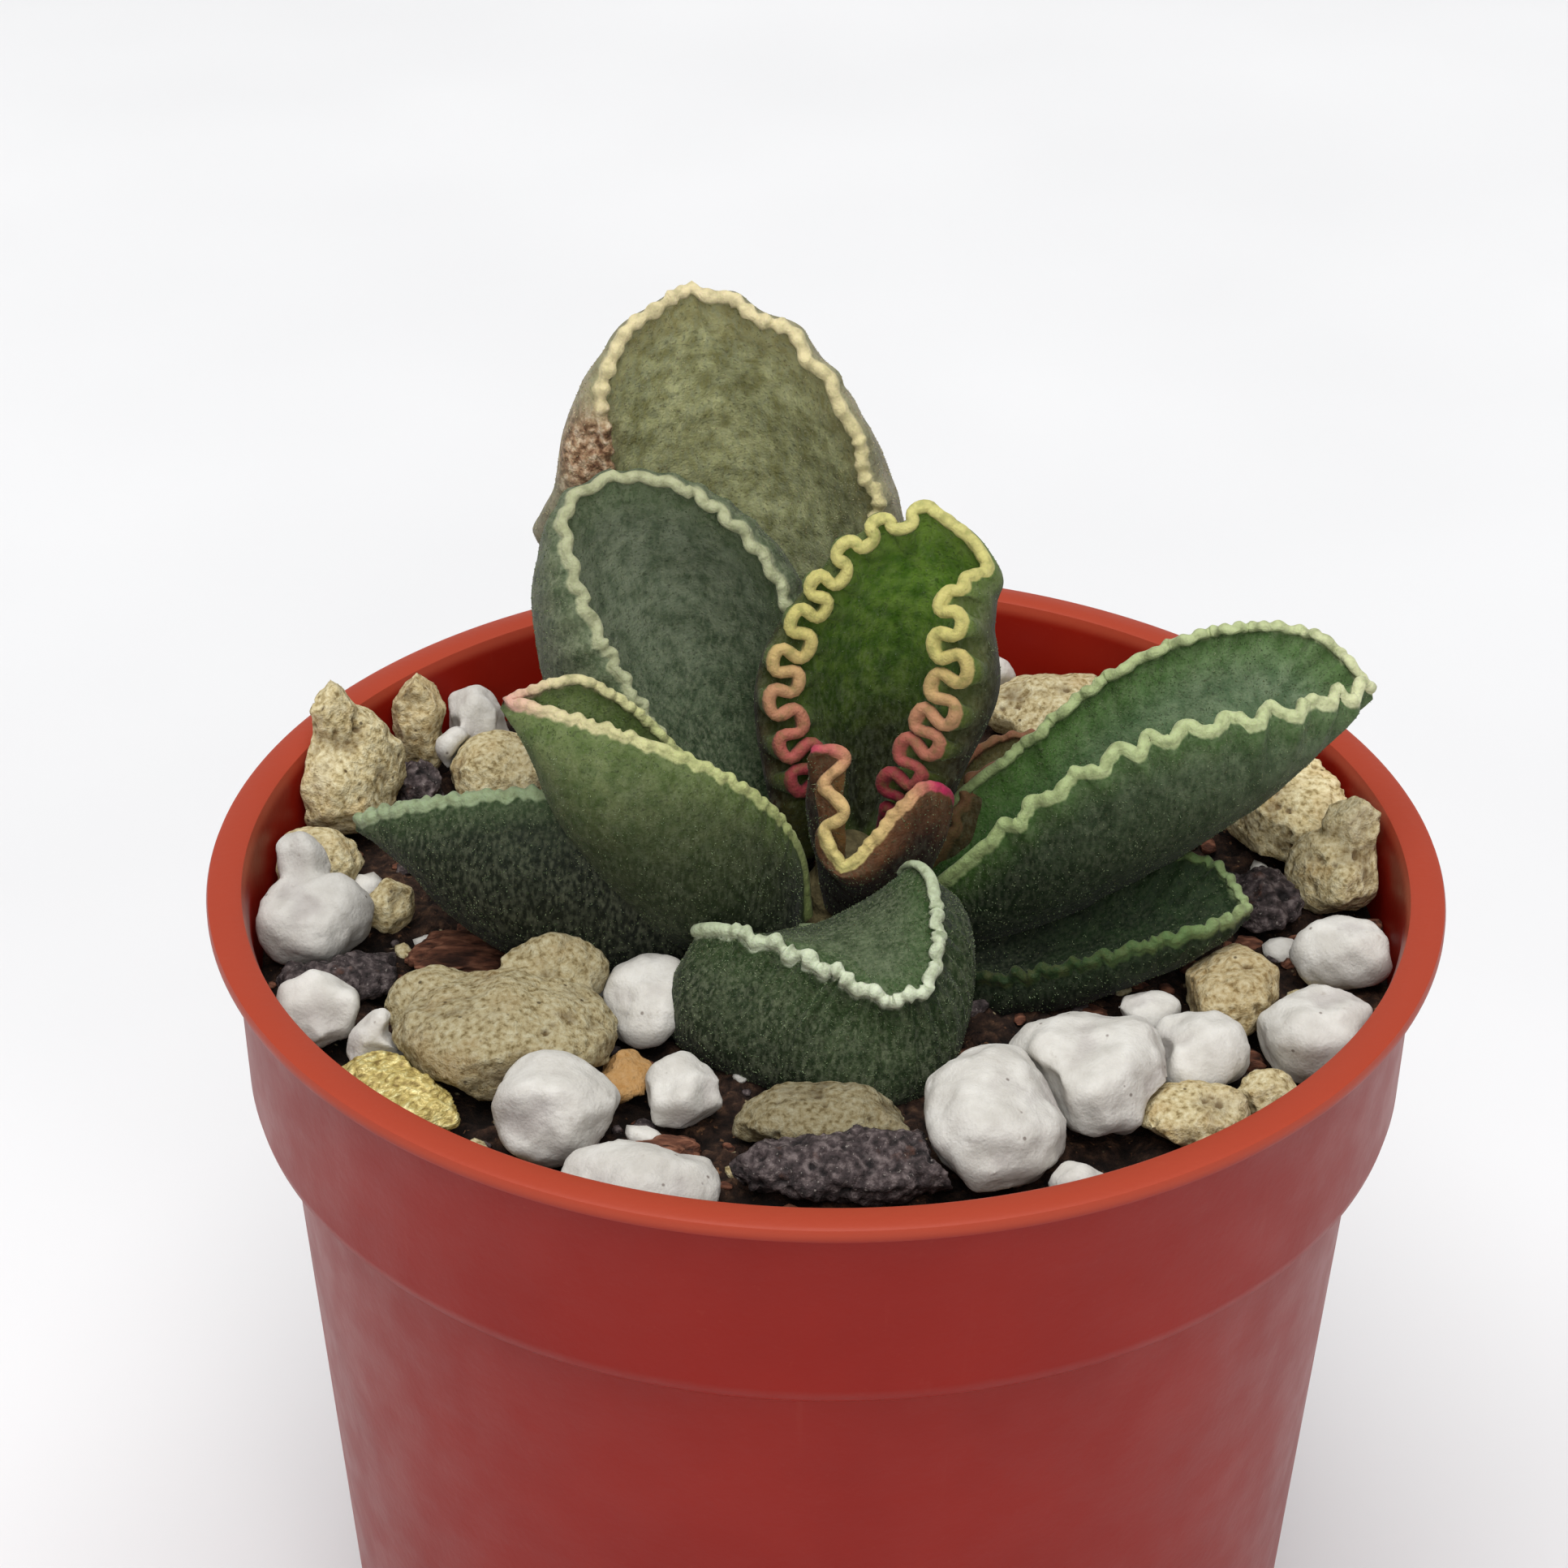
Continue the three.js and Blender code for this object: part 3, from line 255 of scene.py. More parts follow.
# Looks of each leaf, in sRGB from 0 to 255. Blade colours go from the leaf's foot to its tip, as
# dark and light mottling, over a span of its length. The band lies beside the cord, and the under
# side darkens with painted shade to a shadow colour, reached at a distance from the edge. The cord's
# colours are set at shares of the leaf's length. Frost is the share of pale felt, and hairs is their
# number
LEAF_LOOKS = {
    "leaf_young": {
        "foot": [(26, 30, 8), (44, 48, 18)], "tip": [(80, 122, 30), (130, 166, 66)],
        "under_foot": [(38, 20, 12), (60, 36, 22)], "under_tip": [(74, 90, 42), (104, 114, 68)],
        "span": (0.35, 1.05), "band": (104, 130, 48), "deep": (3.2, (26, 9, 8)),
        "cord": [(0.22, (124, 28, 48)), (0.33, (162, 82, 76)), (0.46, (182, 138, 102)),
            (0.6, (190, 180, 110)), (1, (202, 196, 126))],
        "frost": 0.1, "hairs": 3000,
    },
    "leaf_bud": {
        "foot": [(46, 18, 16), (70, 34, 26)], "tip": [(84, 60, 30), (114, 86, 44)],
        "under_foot": [(12, 5, 4), (22, 9, 7)], "under_tip": [(60, 30, 20), (92, 54, 34)],
        "band": (110, 76, 42), "deep": (2.6, (9, 3, 3)),
        "cord": [(0.3, (120, 30, 48)), (0.58, (176, 40, 84)), (0.68, (192, 148, 108)),
            (1, (204, 192, 124))],
        "frost": 0.06, "hairs": 1500,
    },
    "leaf_front": {
        "foot": [(22, 34, 14), (36, 48, 24)], "tip": [(56, 72, 44), (88, 102, 74)],
        "under_foot": [(10, 18, 6), (18, 28, 11)], "under_tip": [(34, 50, 24), (56, 70, 42)],
        "band": (46, 76, 28), "deep": (7, (20, 26, 14)),
        "cord": [(0, (150, 166, 126)), (1, (206, 214, 188))], "frost": 0.16, "hairs": 9000,
    },
    "leaf_front_left": {
        "foot": [(46, 62, 26), (64, 80, 40)], "tip": [(82, 98, 54), (118, 128, 84)],
        "under_foot": [(12, 18, 6), (20, 28, 11)], "under_tip": [(72, 88, 44), (104, 114, 72)],
        "band": (90, 112, 50), "deep": (7, (24, 36, 14)),
        "cord": [(0, (138, 154, 92)), (0.6, (186, 190, 132)), (0.9, (206, 194, 152)),
            (1, (212, 164, 148))],
        "frost": 0.1, "hairs": 6000,
    },
    "leaf_right": {
        "foot": [(38, 72, 24), (58, 92, 38)], "tip": [(74, 96, 66), (110, 128, 98)],
        "under_foot": [(10, 24, 5), (18, 34, 10)], "under_tip": [(54, 72, 44), (86, 102, 74)],
        "band": (78, 112, 46), "deep": (9, (28, 42, 20)),
        "cord": [(0, (126, 148, 90)), (0.75, (184, 194, 146)), (1, (208, 210, 168))], "frost": 0.1,
        "hairs": 9000,
    },
    "leaf_rear_left": {
        "foot": [(34, 52, 28), (52, 72, 42)], "tip": [(88, 102, 78), (132, 142, 118)],
        "under_foot": [(34, 42, 26), (52, 58, 38)], "under_tip": [(66, 74, 58), (100, 104, 84)],
        "band": (84, 104, 62), "deep": (9, (50, 54, 40)),
        "cord": [(0, (132, 148, 104)), (0.5, (166, 170, 136)), (1, (172, 174, 138))], "frost": 0.22,
        "hairs": 9000,
    },
    "leaf_back": {
        "foot": [(90, 104, 72), (134, 144, 108)], "tip": [(146, 144, 94), (206, 206, 154)],
        "under_foot": [(98, 94, 72), (128, 120, 96)], "under_tip": [(124, 118, 94), (162, 150, 126)],
        "band": (142, 132, 84), "deep": (12, (110, 96, 84)),
        "cord": [(0, (158, 148, 98)), (0.4, (198, 188, 136)), (1, (220, 206, 164))], "frost": 0.36,
        "hairs": 9000,
    },
    "leaf_left": {
        "foot": [(20, 38, 15), (32, 50, 26)], "tip": [(28, 46, 22), (50, 66, 40)],
        "under_foot": [(8, 14, 4), (15, 22, 9)], "under_tip": [(18, 28, 12), (34, 44, 26)],
        "band": (62, 86, 44), "deep": (6, (10, 16, 7)),
        "cord": [(0, (98, 118, 82)), (1, (146, 160, 126))], "frost": 0.13, "hairs": 7000,
    },
    # Lower right leaf, under the others: dark partly by painted shade; its cord fades to painted shade
    # at its foot
    "leaf_lower_right": {
        "foot": [(6, 13, 4), (11, 20, 7)], "tip": [(16, 32, 11), (30, 50, 22)],
        "under_foot": [(5, 9, 3), (9, 14, 6)], "under_tip": [(14, 24, 9), (28, 40, 20)],
        "band": (26, 46, 17), "deep": (4, (6, 12, 4)),
        "cord": [(0, (16, 28, 11)), (0.5, (36, 56, 26)), (0.8, (88, 112, 66)), (1, (150, 166, 118))],
        "frost": 0.05, "hairs": 3000,
    },
    "leaf_rear_right": {
        "foot": [(36, 40, 15), (54, 54, 24)], "tip": [(66, 66, 28), (96, 86, 44)],
        "under_foot": [(44, 38, 20), (66, 54, 32)], "under_tip": [(76, 52, 34), (102, 74, 50)],
        "band": (84, 74, 40), "deep": (4, (30, 24, 12)),
        "cord": [(0, (98, 84, 52)), (0.6, (126, 82, 60)), (1, (140, 96, 74))], "frost": 0.1,
        "hairs": 1000,
    },
}

# Kinds of the leaves that aren't plain green ones; only the old kind is read, for its scar and warm
# hairs
LEAF_SLOTS = {"leaf_young": "leaf_young", "leaf_bud": "leaf_bud", "leaf_back": "leaf_old"}

# Numbers that scatter a repeatable draw, and what brings noise to about -1 to 1
SCATTER = (12.9898, 78.233, 43758.5453)
NOISE_GAIN = 1.6

# Studio light, in metres: the kind of each light, its place and its settings
WORLD_STRENGTH = 0.08
LIGHT_AIM = (0, 0, 0.05)
LIGHTS = {
    "above": ("SUN", (-0.06, -0.14, 1.0), {"angle": math.radians(56), "energy": 2.9}),
    "behind": (
        "AREA", (0, 1.3, 0.6), {"shape": "RECTANGLE", "size": 1.6, "size_y": 0.7, "energy": 0.6},
    ),
    "front": ("AREA", (0.1, -1.2, 1.0), {"size": 0.9, "energy": 9}),
}

# How far the pot stands over the floor
FLOOR_GAP = 0.1

# Corky scar on the old leaf
SCAR_PLACE = (-11.2, 8.2, 71.4)
SCAR_RADIUS = 3.4


def clear(low, high, value):
    """A smooth step from 0 at low to 1 at high."""
    share = np.clip((value - low) / (high - low), 0, 1)
    return share * share * (3 - 2 * share)


def unit(vectors):
    return vectors / np.maximum(np.linalg.norm(vectors, axis=-1, keepdims=True), 1e-9)


def chance(seed, count):
    """A repeatable number from 0 to 1 for a seed and a count."""
    by_seed, by_count, spread = SCATTER
    turned = np.sin(seed * by_seed + count * by_count) * spread
    return turned - np.floor(turned)


def rough(points, size, seed):
    """Smooth noise from about -1 to 1 at each point, with lumps of about one size."""
    shift = Vector((seed * 3.7 + 11, seed * 7.1 - 5, seed * 1.9 + 3))
    return np.array([noise.noise(Vector(p) / size + shift) for p in points]) * NOISE_GAIN


def layered(points, seed, *layers):
    """Smooth noise in layers, each with a height and a size."""
    return sum(height * rough(points, size, seed) for height, size in layers)


def pits(points, size, reach, seed):
    """From 0 between the pits to 1 at the middle of each, for pits scattered at about one size."""
    shift = Vector((seed * 5.3 - 7, seed * 2.3 + 9, seed * 4.7))
    nearest = np.array([noise.voronoi(Vector(p) / size + shift)[0][0] for p in points])
    return np.clip(1 - (nearest / reach) ** 2, 0, 1)


def placed(name, data):
    """A new object in the scene."""
    made = bpy.data.objects.new(name, data)
    bpy.context.scene.collection.objects.link(made)
    return made


def new_mesh(name, points, faces):
    """A smooth mesh from points in millimetres."""
    mesh = bpy.data.meshes.new(name)
    mesh.from_pydata((np.asarray(points) * MM).tolist(), [], faces)
    mesh.shade_smooth()
    return mesh


def add_camera():
    place = Vector(CAMERA_PLACE)
    forward = (Vector(CAMERA_AIM) - place).normalized()
    right = Vector((1, 0, 0))
    yaw = Quaternion(right.cross(forward), math.radians(CAMERA_YAW))
    forward.rotate(yaw)
    right.rotate(yaw)
    forward.rotate(Quaternion(right, math.radians(CAMERA_PITCH)))
    roll = Quaternion(forward, -math.radians(CAMERA_ROLL))
    right.rotate(roll)
    up = right.cross(forward)
    data = bpy.data.cameras.new("camera")
    data.sensor_width = SENSOR_WIDTH
    data.lens = FOCAL_PIXELS / PHOTO_SIDE * SENSOR_WIDTH
    data.clip_start = 0.01
    data.clip_end = 20
    camera = placed("camera", data)
    turn = Matrix((right, up, -forward)).transposed()
    camera.matrix_world = Matrix.Translation(place * MM) @ turn.to_4x4()
    bpy.context.scene.camera = camera


class Paint:
    """Builds one node material. Its patterns are measured in millimetres on the object."""

    def __init__(self, name, constants):
        self.material = bpy.data.materials.new(name)
        self.material.use_nodes = True
        self.tree = self.material.node_tree
        self.shader = self.tree.nodes["Principled BSDF"]
        for socket, value in constants.items():
            self.shader.inputs[socket].default_value = value
        place = self.node("TexCoord").outputs["Object"]
        self.place = self.vector("SCALE", {0: place, "Scale": 1 / MM}).outputs[0]

    def feed(self, socket, value):
        if isinstance(value, bpy.types.NodeSocket):
            self.tree.links.new(value, socket)
        else:
            socket.default_value = value

    def node(self, kind, settings=None, inputs=None):
        made = self.tree.nodes.new("ShaderNode" + kind)
        for key, value in (settings or {}).items():
            setattr(made, key, value)
        for socket, value in (inputs or {}).items():
            self.feed(made.inputs[socket], value)
        return made

    def vector(self, operation, inputs):
        return self.node("VectorMath", {"operation": operation}, inputs)

    def stretched(self, factors):
        """The place on the object, stretched along its axes."""
        return self.vector("MULTIPLY", {0: self.place, 1: factors}).outputs[0]

    def mark(self, name):
        """A number that the mesh keeps at each of its points."""
        return self.node("Attribute", {"attribute_name": name}).outputs["Fac"]

    def noise(self, size, detail, place=None):
        inputs = {"Vector": place or self.place, "Scale": 1 / size, "Detail": detail}
        return self.node("TexNoise", {}, inputs).outputs["Fac"]

    def cells(self, size):
        inputs = {"Vector": self.place, "Scale": 1 / size}
        return self.node("TexVoronoi", {}, inputs).outputs["Distance"]

    def band(self, value, low, high, bottom=0.0, top=1.0):
        """A smooth step of a value from bottom at low to top at high."""
        settings = {"interpolation_type": "SMOOTHSTEP"}
        inputs = {"Value": value, "From Min": low, "From Max": high, "To Min": bottom, "To Max": top}
        return self.node("MapRange", settings, inputs).outputs[0]

    def plus(self, first, second):
        return self.node("Math", {"operation": "ADD"}, {0: first, 1: second}).outputs[0]

    def times(self, first, second):
        return self.node("Math", {"operation": "MULTIPLY"}, {0: first, 1: second}).outputs[0]

    def blend(self, factor, first, second, kind="MIX"):
        settings = {"data_type": "RGBA", "blend_type": kind}
        inputs = {0: factor, 6: tint(first), 7: tint(second)}
        return self.node("Mix", settings, inputs).outputs[2]

    def cover(self, colour, pattern, band, over):
        """A colour with another one over it, by a smooth step of a pattern."""
        return self.blend(self.band(pattern, *band), colour, over)

    def ramp(self, value, stops):
        made = self.node("ValToRGB", {}, {"Fac": value})
        elements = made.color_ramp.elements
        while len(elements) < len(stops):
            elements.new(0.5)
        for element, (place, colour) in zip(elements, stops):
            element.position = place
            element.color = tint(colour)
        return made.outputs["Color"]

    def nearness(self, place, radius):
        """1 at a place in millimetres, and 0 from one radius away."""
        away = self.vector("DISTANCE", {0: self.place, 1: place}).outputs["Value"]
        return self.band(away, 0.35 * radius, radius, 1.0, 0.0)

    def relief(self, height, depth, below=None):
        """Bumps of a depth in millimetres, over the bumps below."""
        inputs = {"Height": height, "Distance": depth * MM}
        if below:
            inputs["Normal"] = below
        return self.node("Bump", {}, inputs).outputs[0]

    def finish(self, colour, roughness, normal):
        self.feed(self.shader.inputs["Base Color"], colour)
        self.feed(self.shader.inputs["Roughness"], roughness)
        self.feed(self.shader.inputs["Normal"], normal)
        return self.material


def tint(colour):
    """A socket as it is, or an sRGB colour from 0 to 255 as a linear one."""
    if isinstance(colour, bpy.types.NodeSocket):
        return colour
    shares = [channel / 255 for channel in colour]
    linear = [s / 12.92 if s <= 0.04045 else ((s + 0.055) / 1.055) ** 2.4 for s in shares]
    return (*linear, 1)


def leaf_paint(name, look, scarred):
    constants = {
        "Subsurface Weight": 0.12,
        "Subsurface Radius": (0.6, 1.0, 0.3),
        "Subsurface Scale": 0.0006,
        "Sheen Weight": 0.05,
        "Sheen Roughness": 0.5,
        "Specular IOR Level": 0.16,
    }
    paint = Paint(name, constants)
    gap, along, upper = paint.mark("gap"), paint.mark("along"), paint.mark("upper")
    broad = paint.noise(3.2, 3)
    mottle = paint.band(paint.noise(0.8, 4), 0.32, 0.68)
    place = paint.plus(along, paint.times(broad, 0.3))
    toward_tip = paint.band(place, *look.get("span", (0.25, 1.0)))

    def face(foot, tip):
        low = paint.blend(mottle, *foot)
        high = paint.blend(mottle, *tip)
        return paint.blend(toward_tip, low, high)

    # The under side's dark foot colours are partly the leaf's own and partly painted shade round the
    # stem
    below = face(look["under_foot"], look["under_tip"])
    blade = paint.blend(upper, below, face(look["foot"], look["tip"]))
    blade = paint.blend(paint.band(broad, 0.35, 0.7, 0.0, 0.3), blade, (110, 120, 90), "MULTIPLY")
    # Painted shade: the under side darkens away from its edge to a shadow colour
    reach, shade = look["deep"]
    deep = paint.times(paint.band(gap, 1.0, reach), paint.band(upper, 0.3, 0.7, 0.75, 0.0))
    blade = paint.blend(deep, blade, shade)
    beside = paint.times(paint.band(gap, 0.2, 2.2, 1.0, 0.0), paint.band(upper, 0.3, 0.7, 0.3, 0.55))
    blade = paint.blend(beside, blade, look["band"])

    # Felt: pale hair tips over the blade, thickest where the leaf is frosted
    tips = paint.band(paint.noise(0.2, 3, paint.stretched((1, 1, 0.45))), 0.38, 0.68)
    patches = paint.band(paint.noise(1.3, 4), 0.3, 0.7, 0.55, 1.0)
    frost = paint.times(paint.times(tips, patches), 1.6 * look["frost"])
    felt = paint.blend(frost, blade, (150, 156, 128))
    felt = paint.cover(felt, paint.noise(0.22, 1), (0.6, 0.72, 0, 0.35), (24, 26, 12))

    cord = paint.ramp(along, look["cord"])
    cord = paint.cover(cord, paint.noise(0.5, 3), (0.35, 0.7, 0, 0.3), (96, 90, 50))
    edge_line = paint.plus(gap, paint.times(paint.noise(0.5, 2), 0.3))
    colour = paint.cover(felt, edge_line, (0.14, 0.36, 1.0, 0), cord)

    hairs = paint.relief(paint.noise(0.12, 2), 0.05)
    grain = paint.relief(paint.noise(0.45, 3), 0.09, hairs)
    if scarred:
        stops = [(0.35, (96, 66, 44)), (0.5, (158, 126, 96)), (0.66, (204, 184, 156))]
        cork = paint.ramp(paint.noise(0.4, 4), stops)
        near = paint.nearness(SCAR_PLACE, SCAR_RADIUS)
        worn = paint.times(near, paint.band(upper, 0.7, 1.0, 1.0, 0.25))
        colour = paint.blend(worn, colour, cork)
        grain = paint.relief(paint.times(paint.noise(0.5, 3), worn), 0.5, grain)
    return paint.finish(colour, paint.band(tips, 0, 1, 0.62, 0.85), grain)


def hair_paint(name, warm):
    constants = {"Specular IOR Level": 0.2, "Subsurface Weight": 0.1, "Subsurface Scale": 0.0003}
    paint = Paint(name, constants)
    dark, light = [(142, 128, 92), (206, 196, 156)] if warm else [(66, 84, 48), (140, 152, 116)]
    colour = paint.ramp(paint.noise(0.6, 3), [(0.35, dark), (0.65, light)])
    return paint.finish(colour, 0.8, paint.relief(paint.noise(0.05, 1), 0.004))


def add_piece(name, points, faces, material, replaced=(), marks=None):
    """A smooth mesh piece from points in millimetres, with numbers kept at its points for its paint."""
    mesh = new_mesh(name, points, faces)
    for mark, values in (marks or {}).items():
        layer = mesh.attributes.new(mark, "FLOAT", "POINT")
        layer.data.foreach_set("value", np.asarray(values, np.float32))
    mesh.materials.append(material)
    piece = placed(name, mesh)
    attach(piece, "root")
    if replaced:
        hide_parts(*replaced)
    return piece


def curve(stations):
    """A centripetal Catmull-Rom curve through stations, as a function of the share of its length."""
    given = np.array(stations, float)
    held = np.vstack([2 * given[0] - given[1], given, 2 * given[-1] - given[-2]])
    t = np.linspace(0, 1, CURVE_STEPS, endpoint=False)[:, None]
    spans = []
    for before, start, end, after in zip(held, held[1:], held[2:], held[3:]):
        steps = (start - before, end - start, after - end)
        d0, d1, d2 = (np.linalg.norm(step) ** 0.5 for step in steps)
        leave = ((start - before) / d0 - (end - before) / (d0 + d1) + (end - start) / d1) * d1
        arrive = ((end - start) / d1 - (after - start) / (d1 + d2) + (after - end) / d2) * d1
        square = 3 * (end - start) - 2 * leave - arrive
        cube = 2 * (start - end) + leave + arrive
        spans.append(start + leave * t + square * t**2 + cube * t**3)
    points = np.vstack([*spans, given[-1:]])
    reached = np.concatenate([[0], np.cumsum(np.linalg.norm(np.diff(points, axis=0), axis=1))])

    def at(shares):
        wanted = np.clip(shares, 0, 1) * reached[-1]
        return np.stack([np.interp(wanted, reached, points[:, k]) for k in range(3)], -1)

    return at


def edge_waves(leaf, count, wobble, seed, shares):
    """How far one edge's waves rise, and how far they lean along the edge, at shares of its length."""
    cells = 1 + 0.5 * wobble * (2 * chance(seed, np.arange(count)) - 1)
    bounds = np.concatenate([[0], np.cumsum(cells)])
    heights = 1 + wobble * (2 * chance(seed + 0.5, np.arange(count + 1)) - 1)
    phase = np.interp(shares * bounds[-1], bounds, np.arange(count + 1))
    height = np.interp(phase, np.arange(count + 1), heights)
    height = height * clear(0, WAVE_FADE, shares - leaf["wave_start"])
    return np.sin(2 * np.pi * phase) * height, np.sin(4 * np.pi * phase) * height


def bellying(at, power):
    """How the lower face swells out sideways, from 0 at the midrib to 1 and back to 0 at the edge."""
    peak = 3 / (3 + power)
    return (at / peak) ** 3 * ((1 - at) / (1 - peak)) ** power


def lengthwise(foot, middle, tip, share):
    """A size along a leaf, from its values at the foot, the middle and the tip."""
    return foot * (1 - share) + tip * share + 4 * share * (1 - share) * (middle - (foot + tip) / 2)


def around(values):
    """Each value's neighbours before and after it, with the ends repeated."""
    return np.concatenate([values[:1], values[:-1]]), np.concatenate([values[1:], values[-1:]])


def course(points):
    """The direction of a line of points at each of them."""
    before, after = around(points)
    return unit(after - before)


def dot(first, second):
    return np.sum(first * second, -1, keepdims=True)


def add_hairs(name, points, faces, gap, count, material):
    """Felt: short three-sided hairs that stand out of a leaf's blade, thickest toward its edge."""
    random = np.random.default_rng(len(name) + count)
    quads = np.array([face for face in faces if len(face) == 4])
    a, b, c, d = (points[quads[:, k]] for k in range(4))
    crossed = np.cross(c - a, d - b)
    room = gap[quads].mean(1)
    weight = np.linalg.norm(crossed, axis=1) * (1 + HAIR_CROWD * np.exp(-room)) * (room > HAIR_EDGE_GAP)
    picked = random.choice(len(quads), count, p=weight / weight.sum())
    u, v = random.random((2, count, 1))
    root = (a[picked] * (1 - u) + b[picked] * u) * (1 - v) + (d[picked] * (1 - u) + c[picked] * u) * v
    out = unit(crossed[picked])
    lean = unit(random.normal(size=(count, 3)))
    grown = unit(HAIR_RISE * out + HAIR_SPREAD * lean)
    low = (HAIR_LEAST_RISE - dot(grown, out)).clip(0)
    grown = unit(grown + out * low * 2)
    first = unit(np.cross(grown, lean + 0.3))
    second = np.cross(grown, first)
    foot = root - out * HAIR_SINK
    shortest, longest = HAIR_LENGTHS
    length = shortest + (longest - shortest) * random.random((count, 1))
    along, aside = THIRD_TURN
    corners = [first, along * first + aside * second, along * first - aside * second]
    spikes = np.stack([*(foot + corner * HAIR_RADIUS for corner in corners), root + grown * length], 1)
    start = 4 * np.arange(count)[:, None, None]
    sides = (start + np.array([(0, 1, 3), (1, 2, 3), (2, 0, 3)])).reshape(-1, 3)
    add_piece(name + "_hairs", spikes.reshape(-1, 3), sides.tolist(), material)


def add_leaf(name, given, seed):
    leaf = {**LEAF_DEFAULTS, **given}
    lines = (leaf[line] for line in ("left", "right", "midrib"))
    left_edge, right_edge, midrib = (curve([*line, leaf["tip"]]) for line in lines)
    samples = leaf["crinkles"] * SAMPLES_PER_CRINKLE
    order = np.arange(2 * samples + 1)
    side = np.sign(order - samples)[:, None]
    on_left = side[:, 0] < 0
    share = 1 - np.abs(order - samples) / samples
    left, right = left_edge(share), right_edge(share)
    middle = midrib(share * (1 - (1 - leaf["tip_reach"]) * share**2))
    lateral = unit(right - left)
    lateral[samples] = lateral[samples - 1]
    bulge = np.where(on_left, *leaf["bulge"]) * np.sin(np.pi * share) ** BULGE_POWER
    edge = np.where(side > 0, right, left)
    half = (right - left) * side / 2
    sag = (left + right) / 2 - middle
    left_wave = edge_waves(leaf, leaf["waves"], leaf["wobble"], seed, share)
    right_wave = edge_waves(leaf, leaf["waves"], leaf["wobble"], seed + 7, share)
    wave_size = leaf["wave_height"] * np.where(on_left, *leaf["wave_sides"])
    wave_size = wave_size * clear(0, WAVE_FADE, np.where(on_left, *leaf["wave_end"]) - share)
    wave_size = wave_size * (1 + (leaf["wave_taper"] - 1) * share)
    wave = np.where(on_left, left_wave[0], -right_wave[0]) * wave_size
    lean = np.where(on_left, -left_wave[1], right_wave[1]) * wave_size * leaf["meander"]

    def fine_waves(seed):
        return edge_waves(leaf, leaf["crinkles"], CRINKLE_WOBBLE, seed, share)[0]

    crinkle = np.where(on_left, fine_waves(seed + 11), fine_waves(seed + 17)) * leaf["crinkle"]
    beads = np.where(on_left, fine_waves(seed + 23), fine_waves(seed + 29)) * leaf["beads"]
    belly_size = np.where(on_left, *(lengthwise(*sizes, share).clip(0) for sizes in leaf["belly"]))

    def on_face(at):
        bulged = lateral * side * bulge[:, None] * BULGE_SCALE * at * at * (1 - at)
        return middle + half * at + sag * at * at + bulged

    def normals_at(at):
        at = max(at, NORMAL_START)
        near, far = on_face(at - NORMAL_STEP), on_face(min(at + NORMAL_STEP, 1))
        before, after = around(far)
        return unit(np.cross(after - before, far - near))

    def evened(normals, on_midrib):
        if on_midrib:
            normals = unit(normals + normals[::-1])
        for _ in range(NORMAL_PASSES):
            before, after = around(normals)
            normals = unit(2 * normals + before + after)
        return normals

    thick = lengthwise(*leaf["thickness"], share)
    edge_normals = evened(normals_at(1), False)
    run = course(edge)
    up = unit(edge_normals - run * dot(edge_normals, run))
    out = unit(np.cross(up, run))
    blade = edge - middle
    out = out * np.sign(dot(out, blade))
    aside = evened(unit(out + lateral * side), False)
    length = np.linalg.norm(blade, axis=-1)
    sway = unit(up + out * np.where(on_left, *leaf["sway"])[:, None])
    moved = sway * wave[:, None] + run * lean[:, None]
    crinkled = unit(up + out * CRINKLE_LEAN) * crinkle[:, None]
    cord = edge - up * leaf["rope"] * CORD_SINK + moved
    cord_run = course(cord)
    cord_out = unit(out - cord_run * dot(out, cord_run))
    hand = np.sign(dot(np.cross(run, out), up))
    cord_up = np.cross(cord_run, cord_out) * hand

    rings, marks = [], []

    def keep(points, gap, upper):
        rings.append(points)
        marks.append((np.broadcast_to(gap, share.shape), share, np.full(share.shape, float(upper))))

    def swelling(points, gap, broad_seed):
        broad, small = SWELL_SIZES
        lumps = rough(points, broad, broad_seed) + 0.5 * rough(points, small, seed)
        return leaf["swell"] * clear(0, SWELL_START, gap) * lumps

    def face_ring(at, upper):
        normals = evened(normals_at(at), at == 0)
        gap = (1 - at) * length
        waved = moved * np.exp(-((gap / (WAVE_REACH if upper else LOWER_WAVE_REACH)) ** 2))[:, None]
        waved = waved + crinkled * np.exp(-((gap / CRINKLE_REACH) ** 2))[:, None]
        groove = leaf["groove"] * np.exp(-(((gap - GROOVE_PLACE) / GROOVE_WIDTH) ** 2))
        points = on_face(at) + waved
        if upper:
            rise = swelling(points, gap, seed) - groove
            keep(points + normals * rise[:, None], gap, 1)
            return
        down = unit(-normals + np.array(leaf["drop"]) * (1 - at**DROP_POWER))
        depth = leaf["edge"] + (thick - leaf["edge"]) * (1 - at ** leaf["lens"]) ** leaf["rounding"]
        sunk = down * (depth + swelling(points, gap, seed + 0.5))[:, None]
        belly = aside * (belly_size * bellying(at, leaf["roundness"]))[:, None]
        keep(points + sunk + belly, gap + depth - leaf["edge"] + UNDER_EDGE_GAP, 0)

    def rope_ring(degrees):
        angle = math.radians(degrees)
        lumps = 1 + layered(edge, seed + angle, CORD_LUMPS) + beads
        round_it = cord_up * math.sin(angle) + cord_out * math.cos(angle)
        keep(cord + crinkled + round_it * (leaf["rope"] * lumps)[:, None], 0, 0.5)

    for at in FACE_SHARES:
        face_ring(at, True)
    for degrees in ROPE_ANGLES:
        rope_ring(degrees)
    for at in reversed(FACE_SHARES):
        face_ring(at, False)

